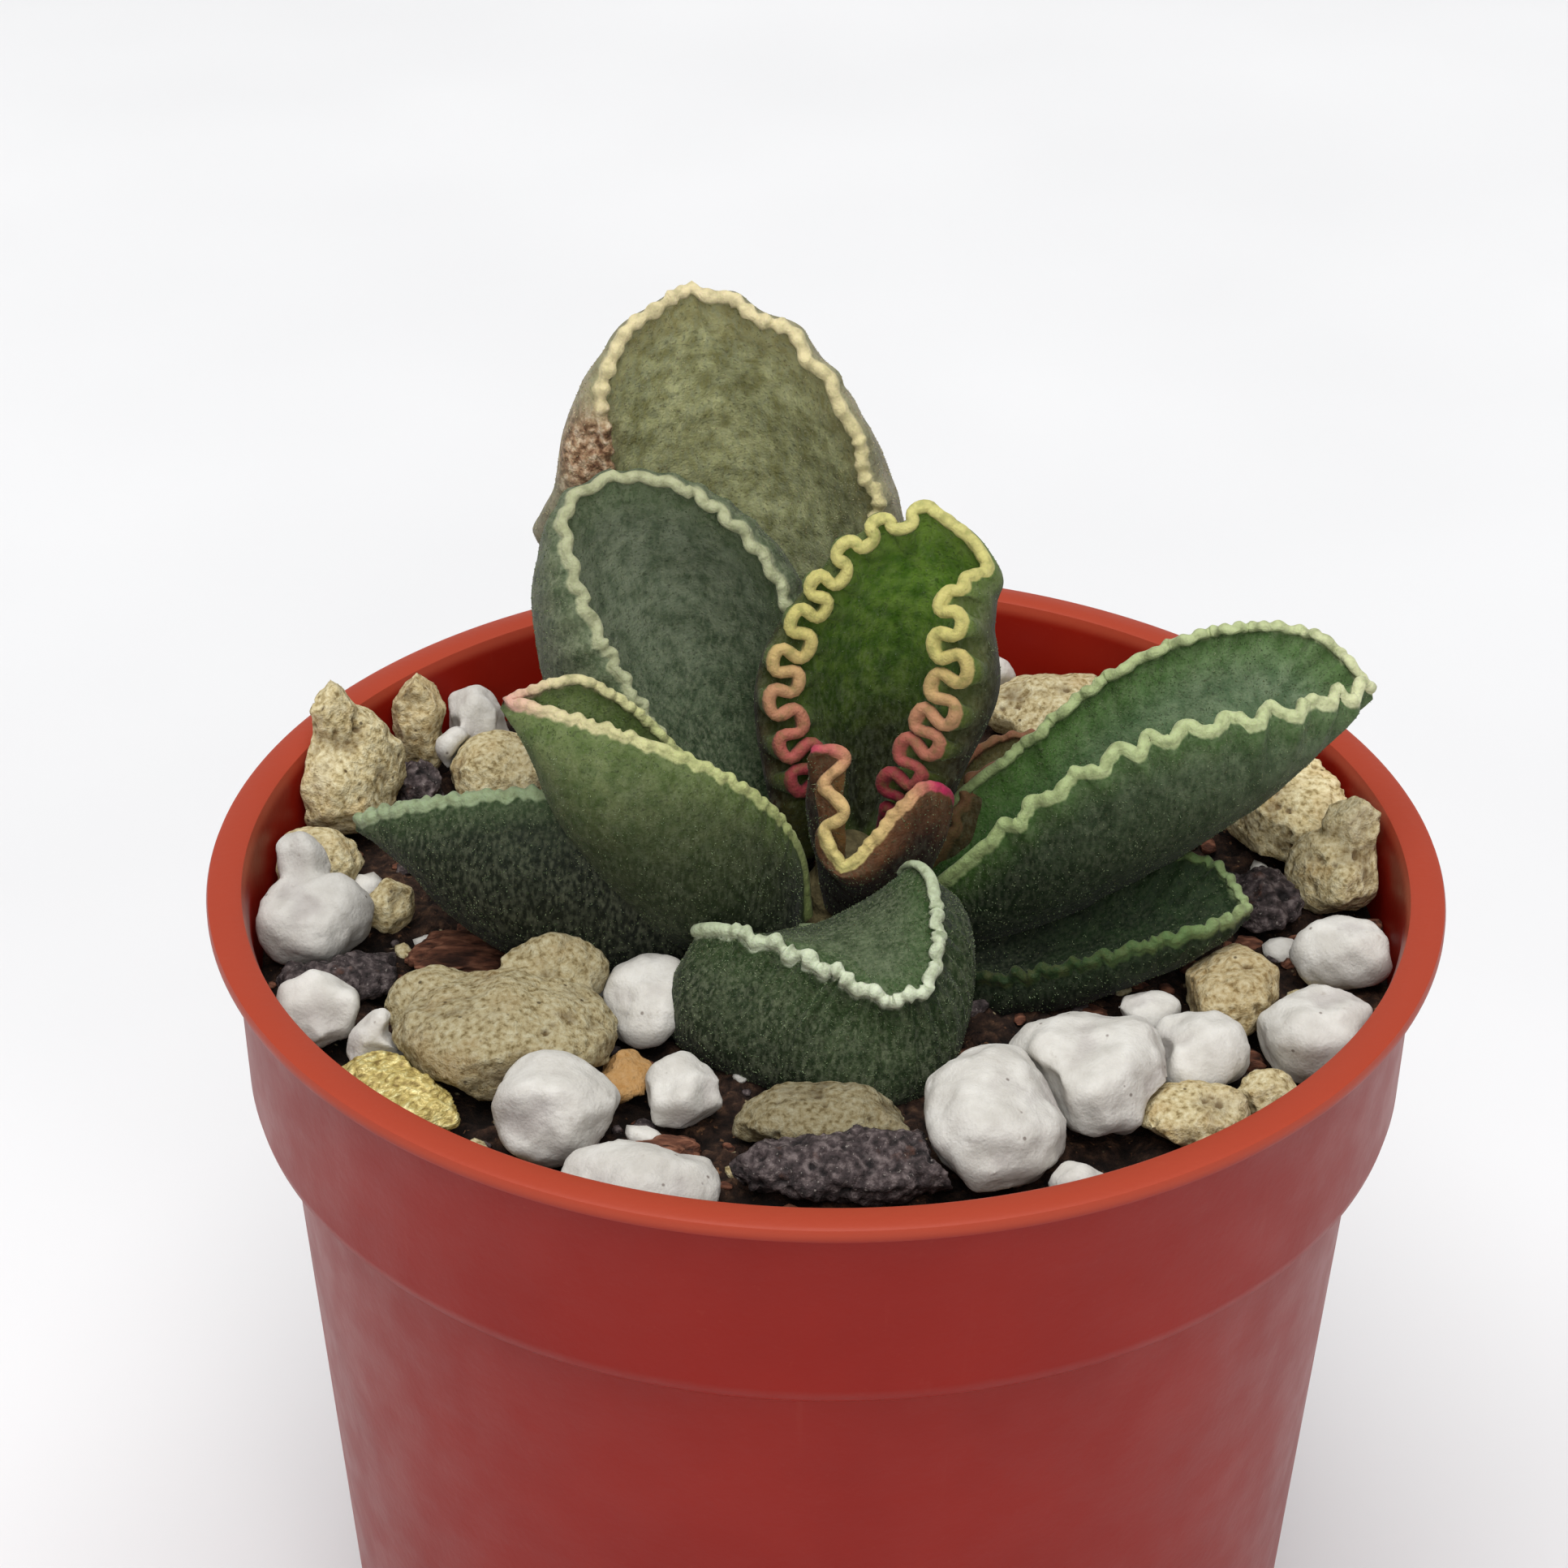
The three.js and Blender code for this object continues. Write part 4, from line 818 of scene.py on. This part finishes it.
    # Both halves share the midrib's points, and the foot is closed by a fan
    count = len(rings)
    numbers = order[:, None] * count + np.arange(count)[None, :]
    later = order > samples
    for j in (0, count - 1):
        numbers[later, j] = numbers[2 * samples - order[later], j]
    points = np.stack(rings, 1).reshape(-1, 3)
    kept = [np.stack([m[k] for m in marks], 1).ravel() for k in range(3)]
    used, packed = np.unique(numbers, return_inverse=True)
    packed = packed.reshape(numbers.shape)
    a, b, c, d = packed[:-1, :-1], packed[1:, :-1], packed[1:, 1:], packed[:-1, 1:]
    faces = np.stack([a, d, c, b], -1).reshape(-1, 4).tolist()
    foot_ring = [*packed[0], *packed[-1, 1:-1][::-1]]
    points = np.vstack([points[used], (points[numbers[0, 0]] + points[numbers[0, -1]]) / 2])
    kept = [np.append(k[used], 0) for k in kept]
    centre = len(points) - 1
    following = [*foot_ring[1:], foot_ring[0]]
    faces += [[int(here), centre, int(there)] for here, there in zip(foot_ring, following)]
    faces = [list(dict.fromkeys(face)) for face in faces]
    faces = [face for face in faces if len(face) > 2]
    marks = {"gap": kept[0], "along": kept[1], "upper": kept[2]}
    slot = LEAF_SLOTS.get(name, "leaf_green")
    look = LEAF_LOOKS[name]
    old = slot == "leaf_old"
    felt = leaf_paint(name, look, old)
    add_piece(name + "_felt", points, faces, felt, [name], marks)
    add_hairs(name, points, faces, kept[0], look["hairs"], hair_paints[old])


def as_shown(thing):
    """A new mesh of an object with its modifiers applied."""
    return bpy.data.meshes.new_from_object(thing.evaluated_get(bpy.context.evaluated_depsgraph_get()))


def remeshed(node, voxel, passes):
    """Points in millimetres, normals and faces of a CAD node's fine and softened copy."""
    source = nodes[node].data.copy()
    source.transform(Matrix.Scale(1 / MM, 4))
    copy = placed("copy", source)
    remesh = copy.modifiers.new("remesh", "REMESH")
    remesh.mode = "VOXEL"
    remesh.voxel_size = voxel
    soften = copy.modifiers.new("soften", "SMOOTH")
    soften.factor = 0.5
    soften.iterations = passes
    fine = as_shown(copy)
    read = np.empty((2, len(fine.vertices) * 3))
    for row, what in zip(read, ("co", "normal")):
        fine.vertices.foreach_get(what, row)
    faces = [list(face.vertices) for face in fine.polygons]
    bpy.data.objects.remove(copy)
    bpy.data.meshes.remove(source)
    bpy.data.meshes.remove(fine)
    points, normals = read.reshape(2, -1, 3)
    return points, normals, faces


def pumice_relief(points, seed):
    lumps = layered(points, seed, (0.18, 2.2), (0.08, 0.9), (0.05, 0.4))
    return lumps - 0.24 * pits(points, 0.8, 0.3, seed) * (rough(points, 1.5, seed + 1) > 0)


def perlite_relief(points, seed):
    puffs = layered(points, seed, (0.3, 2.4), (0.09, 1), (0.025, 0.35))
    return puffs - 0.1 * pits(points, 1.5, 0.14, seed)


def lava_relief(points, seed):
    lumps = layered(points, seed, (0.2, 1.5), (0.14, 0.6), (0.08, 0.28))
    return lumps - 0.24 * pits(points, 0.7, 0.4, seed)


def bark_relief(points, seed):
    return layered(points * np.array((0.3, 1.0, 1.6)), seed, (0.2, 0.6), (0.1, 0.25))


def vermiculite_relief(points, seed):
    lean = points @ unit(np.array((0.45, -0.5, 0.75)))
    leaves = np.abs((lean / 0.42) % 1 - 0.5) * 2
    return 0.18 * (leaves - 0.5) + 0.12 * rough(points, 1.2, seed) + 0.04 * rough(points, 0.3, seed)


def stem_relief(points, seed):
    rings = np.sin(points[:, 2] * 4.5 + rough(points, 2, seed))
    return 0.1 * rings + 0.08 * rough(points, 0.6, seed)


def toned(paint, colour):
    """A colour brightened or darkened per piece: partly its own tone, partly painted light and shade.
    """
    tone_and_light = paint.plus(paint.mark("tone_and_light"), 1)
    return paint.node("HueSaturation", {}, {"Value": tone_and_light, "Color": colour}).outputs[0]


def pumice_paint():
    paint = Paint("pumice", {"Specular IOR Level": 0.2})
    relief = paint.mark("relief")
    stops = [(0.32, (138, 120, 80)), (0.46, (188, 172, 130)), (0.68, (214, 204, 168))]
    colour = paint.ramp(paint.noise(0.3, 6), stops)

    # Brown stains, grey patches, an orange stone, painted shade in the hollows, specks and dots
    colour = paint.cover(colour, paint.noise(2.4, 3), (0.52, 0.74, 0, 0.3), (166, 124, 62))
    colour = paint.cover(colour, paint.noise(3.1, 3), (0.55, 0.75, 0, 0.35), (176, 168, 144))
    colour = paint.blend(paint.mark("orange"), colour, (182, 132, 74))
    colour = paint.cover(colour, relief, (-0.3, -0.06, 0.85, 0), (92, 70, 40))
    colour = paint.cover(colour, paint.cells(0.6), (0.06, 0.18, 0.4, 0), (112, 92, 56))
    colour = paint.cover(colour, paint.cells(1.3), (0.04, 0.1, 0.8, 0), (58, 42, 26))
    fine = paint.relief(paint.noise(0.1, 3), 0.06)
    return paint.finish(toned(paint, colour), 0.9, paint.relief(paint.noise(0.3, 4), 0.14, fine))


def perlite_paint():
    constants = {
        "Subsurface Weight": 0.35,
        "Subsurface Radius": (1, 1, 1.1),
        "Subsurface Scale": 0.0009,
        "Specular IOR Level": 0.25,
    }
    paint = Paint("perlite", constants)
    relief = paint.mark("relief")
    colour = paint.ramp(paint.noise(1.4, 4), [(0.35, (192, 188, 180)), (0.65, (212, 209, 202))])

    # Painted shade in the hollows, dust and specks
    colour = paint.cover(colour, relief, (-0.3, -0.05, 0.4, 0), (156, 146, 144))
    colour = paint.cover(colour, paint.noise(0.5, 4), (0.64, 0.78, 0, 0.4), (150, 138, 124))
    colour = paint.cover(colour, paint.cells(1.7), (0.03, 0.07, 0.7, 0), (96, 80, 70))
    return paint.finish(toned(paint, colour), 0.72, paint.relief(paint.noise(0.16, 3), 0.05))


def lava_paint():
    paint = Paint("lava", {"Specular IOR Level": 0.3})
    relief = paint.mark("relief")
    stops = [(0.3, (28, 23, 22)), (0.5, (68, 58, 58)), (0.72, (122, 110, 108))]
    colour = paint.ramp(paint.noise(0.4, 5), stops)

    # Painted shade in the hollows, rust and ash
    colour = paint.cover(colour, relief, (-0.3, -0.04, 0.9, 0), (16, 13, 14))
    colour = paint.cover(colour, paint.noise(1.1, 3), (0.6, 0.76, 0, 0.6), (104, 66, 48))
    colour = paint.cover(colour, paint.noise(0.16, 2), (0.64, 0.76, 0, 0.5), (176, 168, 160))
    return paint.finish(toned(paint, colour), 0.82, paint.relief(paint.noise(0.14, 3), 0.12))


def bark_paint():
    paint = Paint("bark", {"Specular IOR Level": 0.25})
    relief = paint.mark("relief")
    strands = paint.noise(0.3, 4, paint.stretched((0.25, 1.0, 1.4)))
    colour = paint.ramp(strands, [(0.3, (44, 26, 20)), (0.5, (98, 60, 44)), (0.7, (142, 96, 74))])
    # Painted shade in the hollows
    colour = paint.cover(colour, relief, (-0.2, 0.02, 0.8, 0), (30, 17, 12))
    return paint.finish(colour, 0.85, paint.relief(strands, 0.2))


def vermiculite_paint():
    paint = Paint("vermiculite", {"Specular IOR Level": 0.6, "Metallic": 0.25})
    strands = paint.noise(0.22, 4, paint.stretched((0.45, 0.5, 1.6)))
    stops = [(0.3, (126, 104, 48)), (0.5, (198, 178, 106)), (0.72, (226, 218, 160))]
    gloss = paint.band(strands, 0.3, 0.7, 0.55, 0.3)
    return paint.finish(paint.ramp(strands, stops), gloss, paint.relief(strands, 0.22))


def stem_paint():
    paint = Paint("stem", {"Specular IOR Level": 0.3})
    colour = paint.ramp(paint.noise(0.6, 4), [(0.3, (70, 62, 40)), (0.7, (128, 116, 80))])
    return paint.finish(colour, 0.8, paint.relief(paint.noise(0.3, 3), 0.12))


def mix_paint():
    paint = Paint("potting_mix", {"Specular IOR Level": 0.2})
    relief = paint.mark("relief")
    stops = [(0.3, (20, 13, 10)), (0.52, (52, 36, 28)), (0.72, (88, 64, 48))]
    colour = paint.ramp(paint.noise(0.5, 5), stops)

    # Painted shade in the hollows, brown chips and pale dots
    colour = paint.cover(colour, relief, (-0.2, 0.15, 0.8, 0), (12, 8, 6))
    colour = paint.cover(colour, paint.noise(0.35, 2), (0.66, 0.74, 0, 0.7), (124, 88, 62))
    colour = paint.cover(colour, paint.cells(1.3), (0.06, 0.12, 0.8, 0), (182, 166, 130))
    return paint.finish(colour, 0.92, paint.relief(paint.noise(0.2, 4), 0.3))


def pot_paint():
    paint = Paint("pot_plastic", {"Specular IOR Level": 0.16})
    colour = paint.ramp(paint.noise(9, 4), [(0.3, (132, 20, 8)), (0.7, (140, 25, 12))])

    # The lip catches the light, with dust and scuffs on the walls
    height = paint.node("SeparateXYZ", {}, {0: paint.place}).outputs["Z"]
    lip = (POT_HEIGHT - LIP_THICKNESS - 0.1, POT_HEIGHT - 0.3, 0.0, 0.8)
    colour = paint.cover(colour, height, lip, (172, 72, 50))
    colour = paint.cover(colour, paint.noise(0.35, 3), (0.62, 0.8, 0, 0.07), (176, 84, 64))
    scuffs = paint.noise(1.2, 4, paint.stretched((1, 1, 0.12)))
    colour = paint.cover(colour, scuffs, (0.66, 0.76, 0, 0.06), (184, 96, 76))
    gloss = paint.band(paint.noise(2.5, 4), 0.3, 0.7, 0.36, 0.44)
    skin = paint.relief(paint.noise(0.4, 2), 0.012)
    waver = paint.relief(paint.noise(6, 2, paint.stretched((1, 1, 2.5))), 0.03, skin)
    return paint.finish(colour, gloss, waver)


# Loose chips that stand out between the stones: place, half length and half width
LOOSE_CHIPS = {
    "perlite": [
        (-23, 3.1, 0.8, 1.2), (-19.5, -0.8, 0.8, 0.5), (20.7, -11.8, 1.1, 0.9), (18, -15.4, 0.7, 0.6),
        (8.6, 14.6, 0.6, 1.1), (22.4, -1.2, 1, 0.8),
    ],
    "pumice": [
        (23.4, -6.8, 1.2, 0.7), (20.9, -11, 0.8, 0.7), (-15.8, 21.6, 1, 0.8), (8.7, 16.4, 1.2, 1),
    ],
    "bark": [(22, -6.2, 0.6, 0.4), (-4.6, -21.6, 1, 0.7), (8, -21.7, 0.8, 0.7)],
}

# Per stone: brightness, partly its own tone and partly painted light and shade, and how orange it is
STONE_TONES_AND_LIGHT = {
    "pumice_boulder": (-0.32, 0), "pumice_left_peak": (0.12, 0), "pumice_back_left": (0.05, 0.1),
    "pumice_right_big": (0.5, 0), "pumice_right_knob": (0.05, 0), "pumice_front": (-0.55, 0),
    "pumice_orange": (-0.15, 0.8), "pumice_right_flat": (-0.18, 0.15), "lava_left": (0.1, 0),
    "perlite_left_knob": (-0.12, 0), "lava_left_flat": (-0.25, 0),
}

# Loose grit of each kind: number, least and most half width, and lumps
GRIT = {
    "pumice": (260, 0.25, 0.75, 0.3),
    "perlite": (150, 0.25, 0.7, 0.25),
    "lava": (240, 0.2, 0.6, 0.35),
    "bark": (330, 0.25, 0.7, 0.35),
}

# Kinds of grain: cell of the remesh, passes that soften it, relief and paint
GRAIN_KINDS = {
    "pumice": (0.16, 4, pumice_relief, pumice_paint),
    "perlite": (0.17, 30, perlite_relief, perlite_paint),
    "lava": (0.15, 4, lava_relief, lava_paint),
    "bark": (0.15, 3, bark_relief, bark_paint),
    "vermiculite": (0.14, 3, vermiculite_relief, vermiculite_paint),
    "stem": (0.3, 4, stem_relief, stem_paint),
}


def add_grains():
    for seed, node in enumerate(sorted(nodes)):
        kind = node.split("_")[0]
        if kind not in GRAIN_KINDS:
            continue
        voxel, passes, relief_at, _ = GRAIN_KINDS[kind]
        points, normals, faces = remeshed(node, voxel, passes)
        relief = relief_at(points, seed)
        points = points + normals * relief[:, None]
        # Each stone's tone is partly its own and partly painted light and shade
        tone_and_light, orange = (np.full(len(points), value) for value in STONE_TONES_AND_LIGHT.get(node, (0, 0)))
        marks = {"relief": relief, "tone_and_light": tone_and_light, "orange": orange}
        add_piece(node + "_stone", points, faces, paints[kind], [node], marks)


def mix_height(x, y):
    """Height of the mix's uneven surface, as in the part's source."""
    swell = np.sin(x * 0.31 + 1.7) * np.cos(y * 0.27 - 0.6)
    crumbs = np.sin(x * 0.93 + y * 0.41) * np.sin(y * 0.87 - x * 0.23 + 2.1)
    return MIX_HEIGHT + MIX_RELIEF * (0.6 * swell + 0.4 * crumbs)


def grid_faces(rings, sides):
    """Faces between closed rings of points, one ring after another."""
    k = np.arange(sides)
    rows = [np.stack([r * sides + k, r * sides + (k + 1) % sides], 1) for r in range(rings)]
    return [
        [int(low[0]), int(low[1]), int(high[1]), int(high[0])]
        for below, above in zip(rows, rows[1:])
        for low, high in zip(below, above)
    ]


def circle(radius, height, sides):
    angles = 2 * np.pi * np.arange(sides) / sides
    return np.stack([radius * np.cos(angles), radius * np.sin(angles), np.full(sides, height)], -1)


def add_mix():
    collar_foot = POT_HEIGHT - COLLAR_HEIGHT
    bottom_height = FLOOR_THICKNESS + MIX_WALL_GAP
    foot = circle(BASE_RADIUS - POT_WALL - MIX_WALL_GAP, bottom_height, MIX_SIDES)
    waist = circle(BODY_TOP_RADIUS - POT_WALL - MIX_WALL_GAP, collar_foot - SHOULDER_HEIGHT, MIX_SIDES)
    collar_radius = COLLAR_FOOT_RADIUS - POT_WALL - MIX_COLLAR_GAP
    wall = circle(collar_radius, collar_foot + MIX_COLLAR_RISE, MIX_SIDES)
    radii = MIX_RADIUS * (1 - np.arange(MIX_RINGS) / MIX_RINGS)
    top = np.vstack([circle(radius, 0, MIX_SIDES) for radius in radii] + [np.zeros((1, 3))])
    crumbs = sum(height * rough(top, size, seed) for height, size, seed in MIX_CRUMBS)
    top[:, 2] = mix_height(top[:, 0], top[:, 1]) + MIX_COVER + crumbs
    sides = np.vstack([foot, waist, wall])
    points = np.vstack([sides, top, [(0, 0, bottom_height)]])
    faces = grid_faces(3 + MIX_RINGS, MIX_SIDES)
    inner = (2 + MIX_RINGS) * MIX_SIDES
    centre, bottom = len(points) - 2, len(points) - 1
    for k in range(MIX_SIDES):
        following = (k + 1) % MIX_SIDES
        faces += [[inner + k, inner + following, centre], [following, k, bottom]]
    marks = {"relief": np.concatenate([np.zeros(len(sides)), crumbs, [0]])}
    paint = paints["potting_mix"]
    add_piece("mix_body", points, faces, paint, ["potting_mix"], marks)


def add_pot():
    top, lip_foot = POT_HEIGHT, POT_HEIGHT - LIP_THICKNESS
    collar_foot = POT_HEIGHT - COLLAR_HEIGHT
    shoulder = collar_foot - SHOULDER_HEIGHT
    base, body, rim = BASE_RADIUS, BODY_TOP_RADIUS, RIM_RADIUS
    low, high, inner = COLLAR_FOOT_RADIUS, COLLAR_TOP_RADIUS, RIM_RADIUS - LIP_WIDTH

    # Up the outside, over the lip and down the inside
    profile = [
        (base - 0.5, 0), (base - 0.2, 0.06), (base, 0.4), (base + 0.3, 4),
        (body, shoulder - 0.3), (body + 0.12, shoulder),
        (body + 0.5, collar_foot - SHOULDER_HEIGHT * 0.9),
        (body + 1.1, collar_foot - SHOULDER_HEIGHT * 0.6),
        (low - 0.12, collar_foot - SHOULDER_HEIGHT * 0.25), (low, collar_foot + 0.2),
        (high - 0.02, lip_foot - 0.35), (high + 0.1, lip_foot - 0.08), (high + 0.35, lip_foot),
        (rim - 0.2, lip_foot), (rim - 0.05, lip_foot + 0.06), (rim, lip_foot + 0.2),
        (rim, top - 0.25), (rim - 0.07, top - 0.08), (rim - 0.25, top),
        (inner + 0.25, top), (inner + 0.07, top - 0.08), (inner, top - 0.25),
        (high - POT_WALL, lip_foot - 0.2), (low - POT_WALL, collar_foot + POT_WALL * 0.6),
        (body - POT_WALL, shoulder), (base - POT_WALL + 0.1, FLOOR_THICKNESS),
    ]
    rings = [circle(radius, height, POT_SIDES) for radius, height in profile]
    points = np.vstack([*rings, [(0, 0, 0), (0, 0, FLOOR_THICKNESS)]])
    faces = grid_faces(len(rings), POT_SIDES)
    last = (len(rings) - 1) * POT_SIDES
    under, inside = len(points) - 2, len(points) - 1
    for k in range(POT_SIDES):
        following = (k + 1) % POT_SIDES
        faces += [[following, k, under], [last + k, last + following, inside]]
    pot = add_piece("pot_moulded", points, faces, pot_paint(), ["pot"])

    punch_points, punch_faces = [], []
    for k in range(DRAIN_HOLES):
        angle = 2 * math.pi * (k + 0.5) / DRAIN_HOLES
        place = np.array((DRAIN_RING_RADIUS * math.cos(angle), DRAIN_RING_RADIUS * math.sin(angle), 0))
        bottom = 2 * DRAIN_SIDES * k
        middle, above = bottom + DRAIN_SIDES, bottom + 2 * DRAIN_SIDES
        for height in (-1, FLOOR_THICKNESS + 1):
            punch_points.append(circle(DRAIN_HOLE_RADIUS, height, DRAIN_SIDES) + place)
        punch_faces += [[bottom + n for n in face] for face in grid_faces(2, DRAIN_SIDES)]
        punch_faces += [list(reversed(range(bottom, middle))), list(range(middle, above))]
    punch = placed("punch", new_mesh("punch", np.vstack(punch_points), punch_faces))
    cut = pot.modifiers.new("holes", "BOOLEAN")
    cut.object = punch
    cut.operation = "DIFFERENCE"
    cut.solver = "EXACT"
    holed = as_shown(pot)
    pot.modifiers.clear()
    pot.data = holed
    bpy.data.objects.remove(punch)
    holed.shade_smooth()
    holed.set_sharp_from_angle(angle=math.radians(SHARP_ANGLE))


def ball(seed, lumps):
    """A small chip of 80 faces: a ball split once, with random lumps."""
    t = (1 + 5**0.5) / 2
    corners = [(-1, t, 0), (1, t, 0), (-1, -t, 0), (1, -t, 0), (0, -1, t), (0, 1, t)]
    corners += [(0, -1, -t), (0, 1, -t), (t, 0, -1), (t, 0, 1), (-t, 0, -1), (-t, 0, 1)]
    faces = [(0, 11, 5), (0, 5, 1), (0, 1, 7), (0, 7, 10), (0, 10, 11), (1, 5, 9), (5, 11, 4)]
    faces += [(11, 10, 2), (10, 7, 6), (7, 1, 8), (3, 9, 4), (3, 4, 2), (3, 2, 6), (3, 6, 8)]
    faces += [(3, 8, 9), (4, 9, 5), (2, 4, 11), (6, 2, 10), (8, 6, 7), (9, 8, 1)]
    points = [Vector(c).normalized() for c in corners]
    halves = {}

    def between(a, b):
        key = (min(a, b), max(a, b))
        if key not in halves:
            halves[key] = len(points)
            points.append((points[a] + points[b]).normalized())
        return halves[key]

    split = []
    for a, b, c in faces:
        ab, bc, ca = between(a, b), between(b, c), between(c, a)
        split += [(a, ab, ca), (b, bc, ab), (c, ca, bc), (ab, bc, ca)]
    shape = np.array(points)
    return shape * (1 + lumps * rough(shape, 0.8, seed))[:, None], split


def add_grit(surface):
    """Loose crumbs and chips on the mix between the grains, each sunk a little into it."""
    random = np.random.default_rng(GRIT_SEED)
    for kind, (wanted, least, most, lumps) in GRIT.items():
        chips = LOOSE_CHIPS.get(kind, [])
        spots = [(x, y, (long, wide, CHIP_THICKNESS * wide), 0) for x, y, long, wide in chips]
        for _ in range(wanted):
            reach = GRIT_REACH * random.random() ** 0.5
            angle = 2 * np.pi * random.random()
            size = least + (most - least) * random.random() ** 2
            half = (size * random.uniform(1.0, 1.7), size, size * random.uniform(0.5, 0.9))
            spots.append((reach * np.cos(angle), reach * np.sin(angle), half, random.uniform(0, np.pi)))
        points, faces = [], []
        for count, (x, y, half, turn) in enumerate(spots):
            hit = surface.ray_cast(Vector((x, y, ABOVE_ALL)), Vector((0, 0, -1)))[0]
            if hit is None or hit.z > mix_height(x, y) + GRIT_CLIMB:
                continue
            shape, split = ball(count + 1, lumps)
            c, s = np.cos(turn), np.sin(turn)
            turned = (shape * np.array(half)) @ np.array(((c, s, 0), (-s, c, 0), (0, 0, 1)))
            faces += [[len(points) * len(shape) + n for n in f] for f in split]
            points.append(turned + np.array((x, y, hit.z + GRIT_RISE * half[1])))
        marks = {"relief": np.full(len(points) * len(shape), GRIT_RELIEF)}
        add_piece("grit_" + kind, np.vstack(points), faces, paints[kind], (), marks)


def add_stage():
    """A pale floor that sweeps up far from the pot, and soft lights above, behind and in front."""
    sides = 64
    profile = [(500, 0), (1200, 0), (2400, 0), (2800, 60), (3100, 220), (3300, 500), (3350, 900)]
    rings = [circle(radius, height - FLOOR_GAP, sides) for radius, height in profile]
    faces = [list(range(sides)), *(face[::-1] for face in grid_faces(len(rings), sides))]
    floor = placed("floor", new_mesh("floor", np.vstack(rings), faces))
    paint = Paint("floor", {"Specular IOR Level": 0.1})
    shade = paint.ramp(paint.noise(60, 2), [(0.3, (226, 226, 227)), (0.7, (231, 231, 232))])
    floor.data.materials.append(paint.finish(shade, 0.9, paint.relief(paint.noise(2, 2), 0.01)))

    world = bpy.data.worlds.new("studio")
    world.use_nodes = True
    background = world.node_tree.nodes["Background"].inputs
    background["Color"].default_value = (0.98, 0.99, 1, 1)
    background["Strength"].default_value = WORLD_STRENGTH
    bpy.context.scene.world = world

    for name, (kind, place, settings) in LIGHTS.items():
        data = bpy.data.lights.new(name, kind)
        for key, value in settings.items():
            setattr(data, key, value)
        light = placed(name, data)
        light.location = place
        light.rotation_mode = "QUATERNION"
        light.rotation_quaternion = (Vector(LIGHT_AIM) - Vector(place)).to_track_quat("-Z", "Y")
    bpy.context.scene.view_settings.view_transform = "Standard"


def mix_and_stones():
    """The surface that the grit lies on, in millimetres."""
    points, faces = [], []
    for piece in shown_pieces():
        if piece.name == "mix_body" or piece.name.endswith("_stone"):
            start = len(points)
            points += [v.co / MM for v in piece.data.vertices]
            faces += [[start + n for n in face.vertices] for face in piece.data.polygons]
    return BVHTree.FromPolygons(points, faces)


add_camera()
hair_paints = [hair_paint("hairs", False), hair_paint("hairs_old", True)]
for order, (name, leaf) in enumerate(LEAVES.items()):
    add_leaf(name, leaf, order + 1)
paints = {kind: paint() for kind, (_, _, _, paint) in GRAIN_KINDS.items()}
paints["potting_mix"] = mix_paint()
add_grains()
add_mix()
add_pot()
add_grit(mix_and_stones())
add_stage()
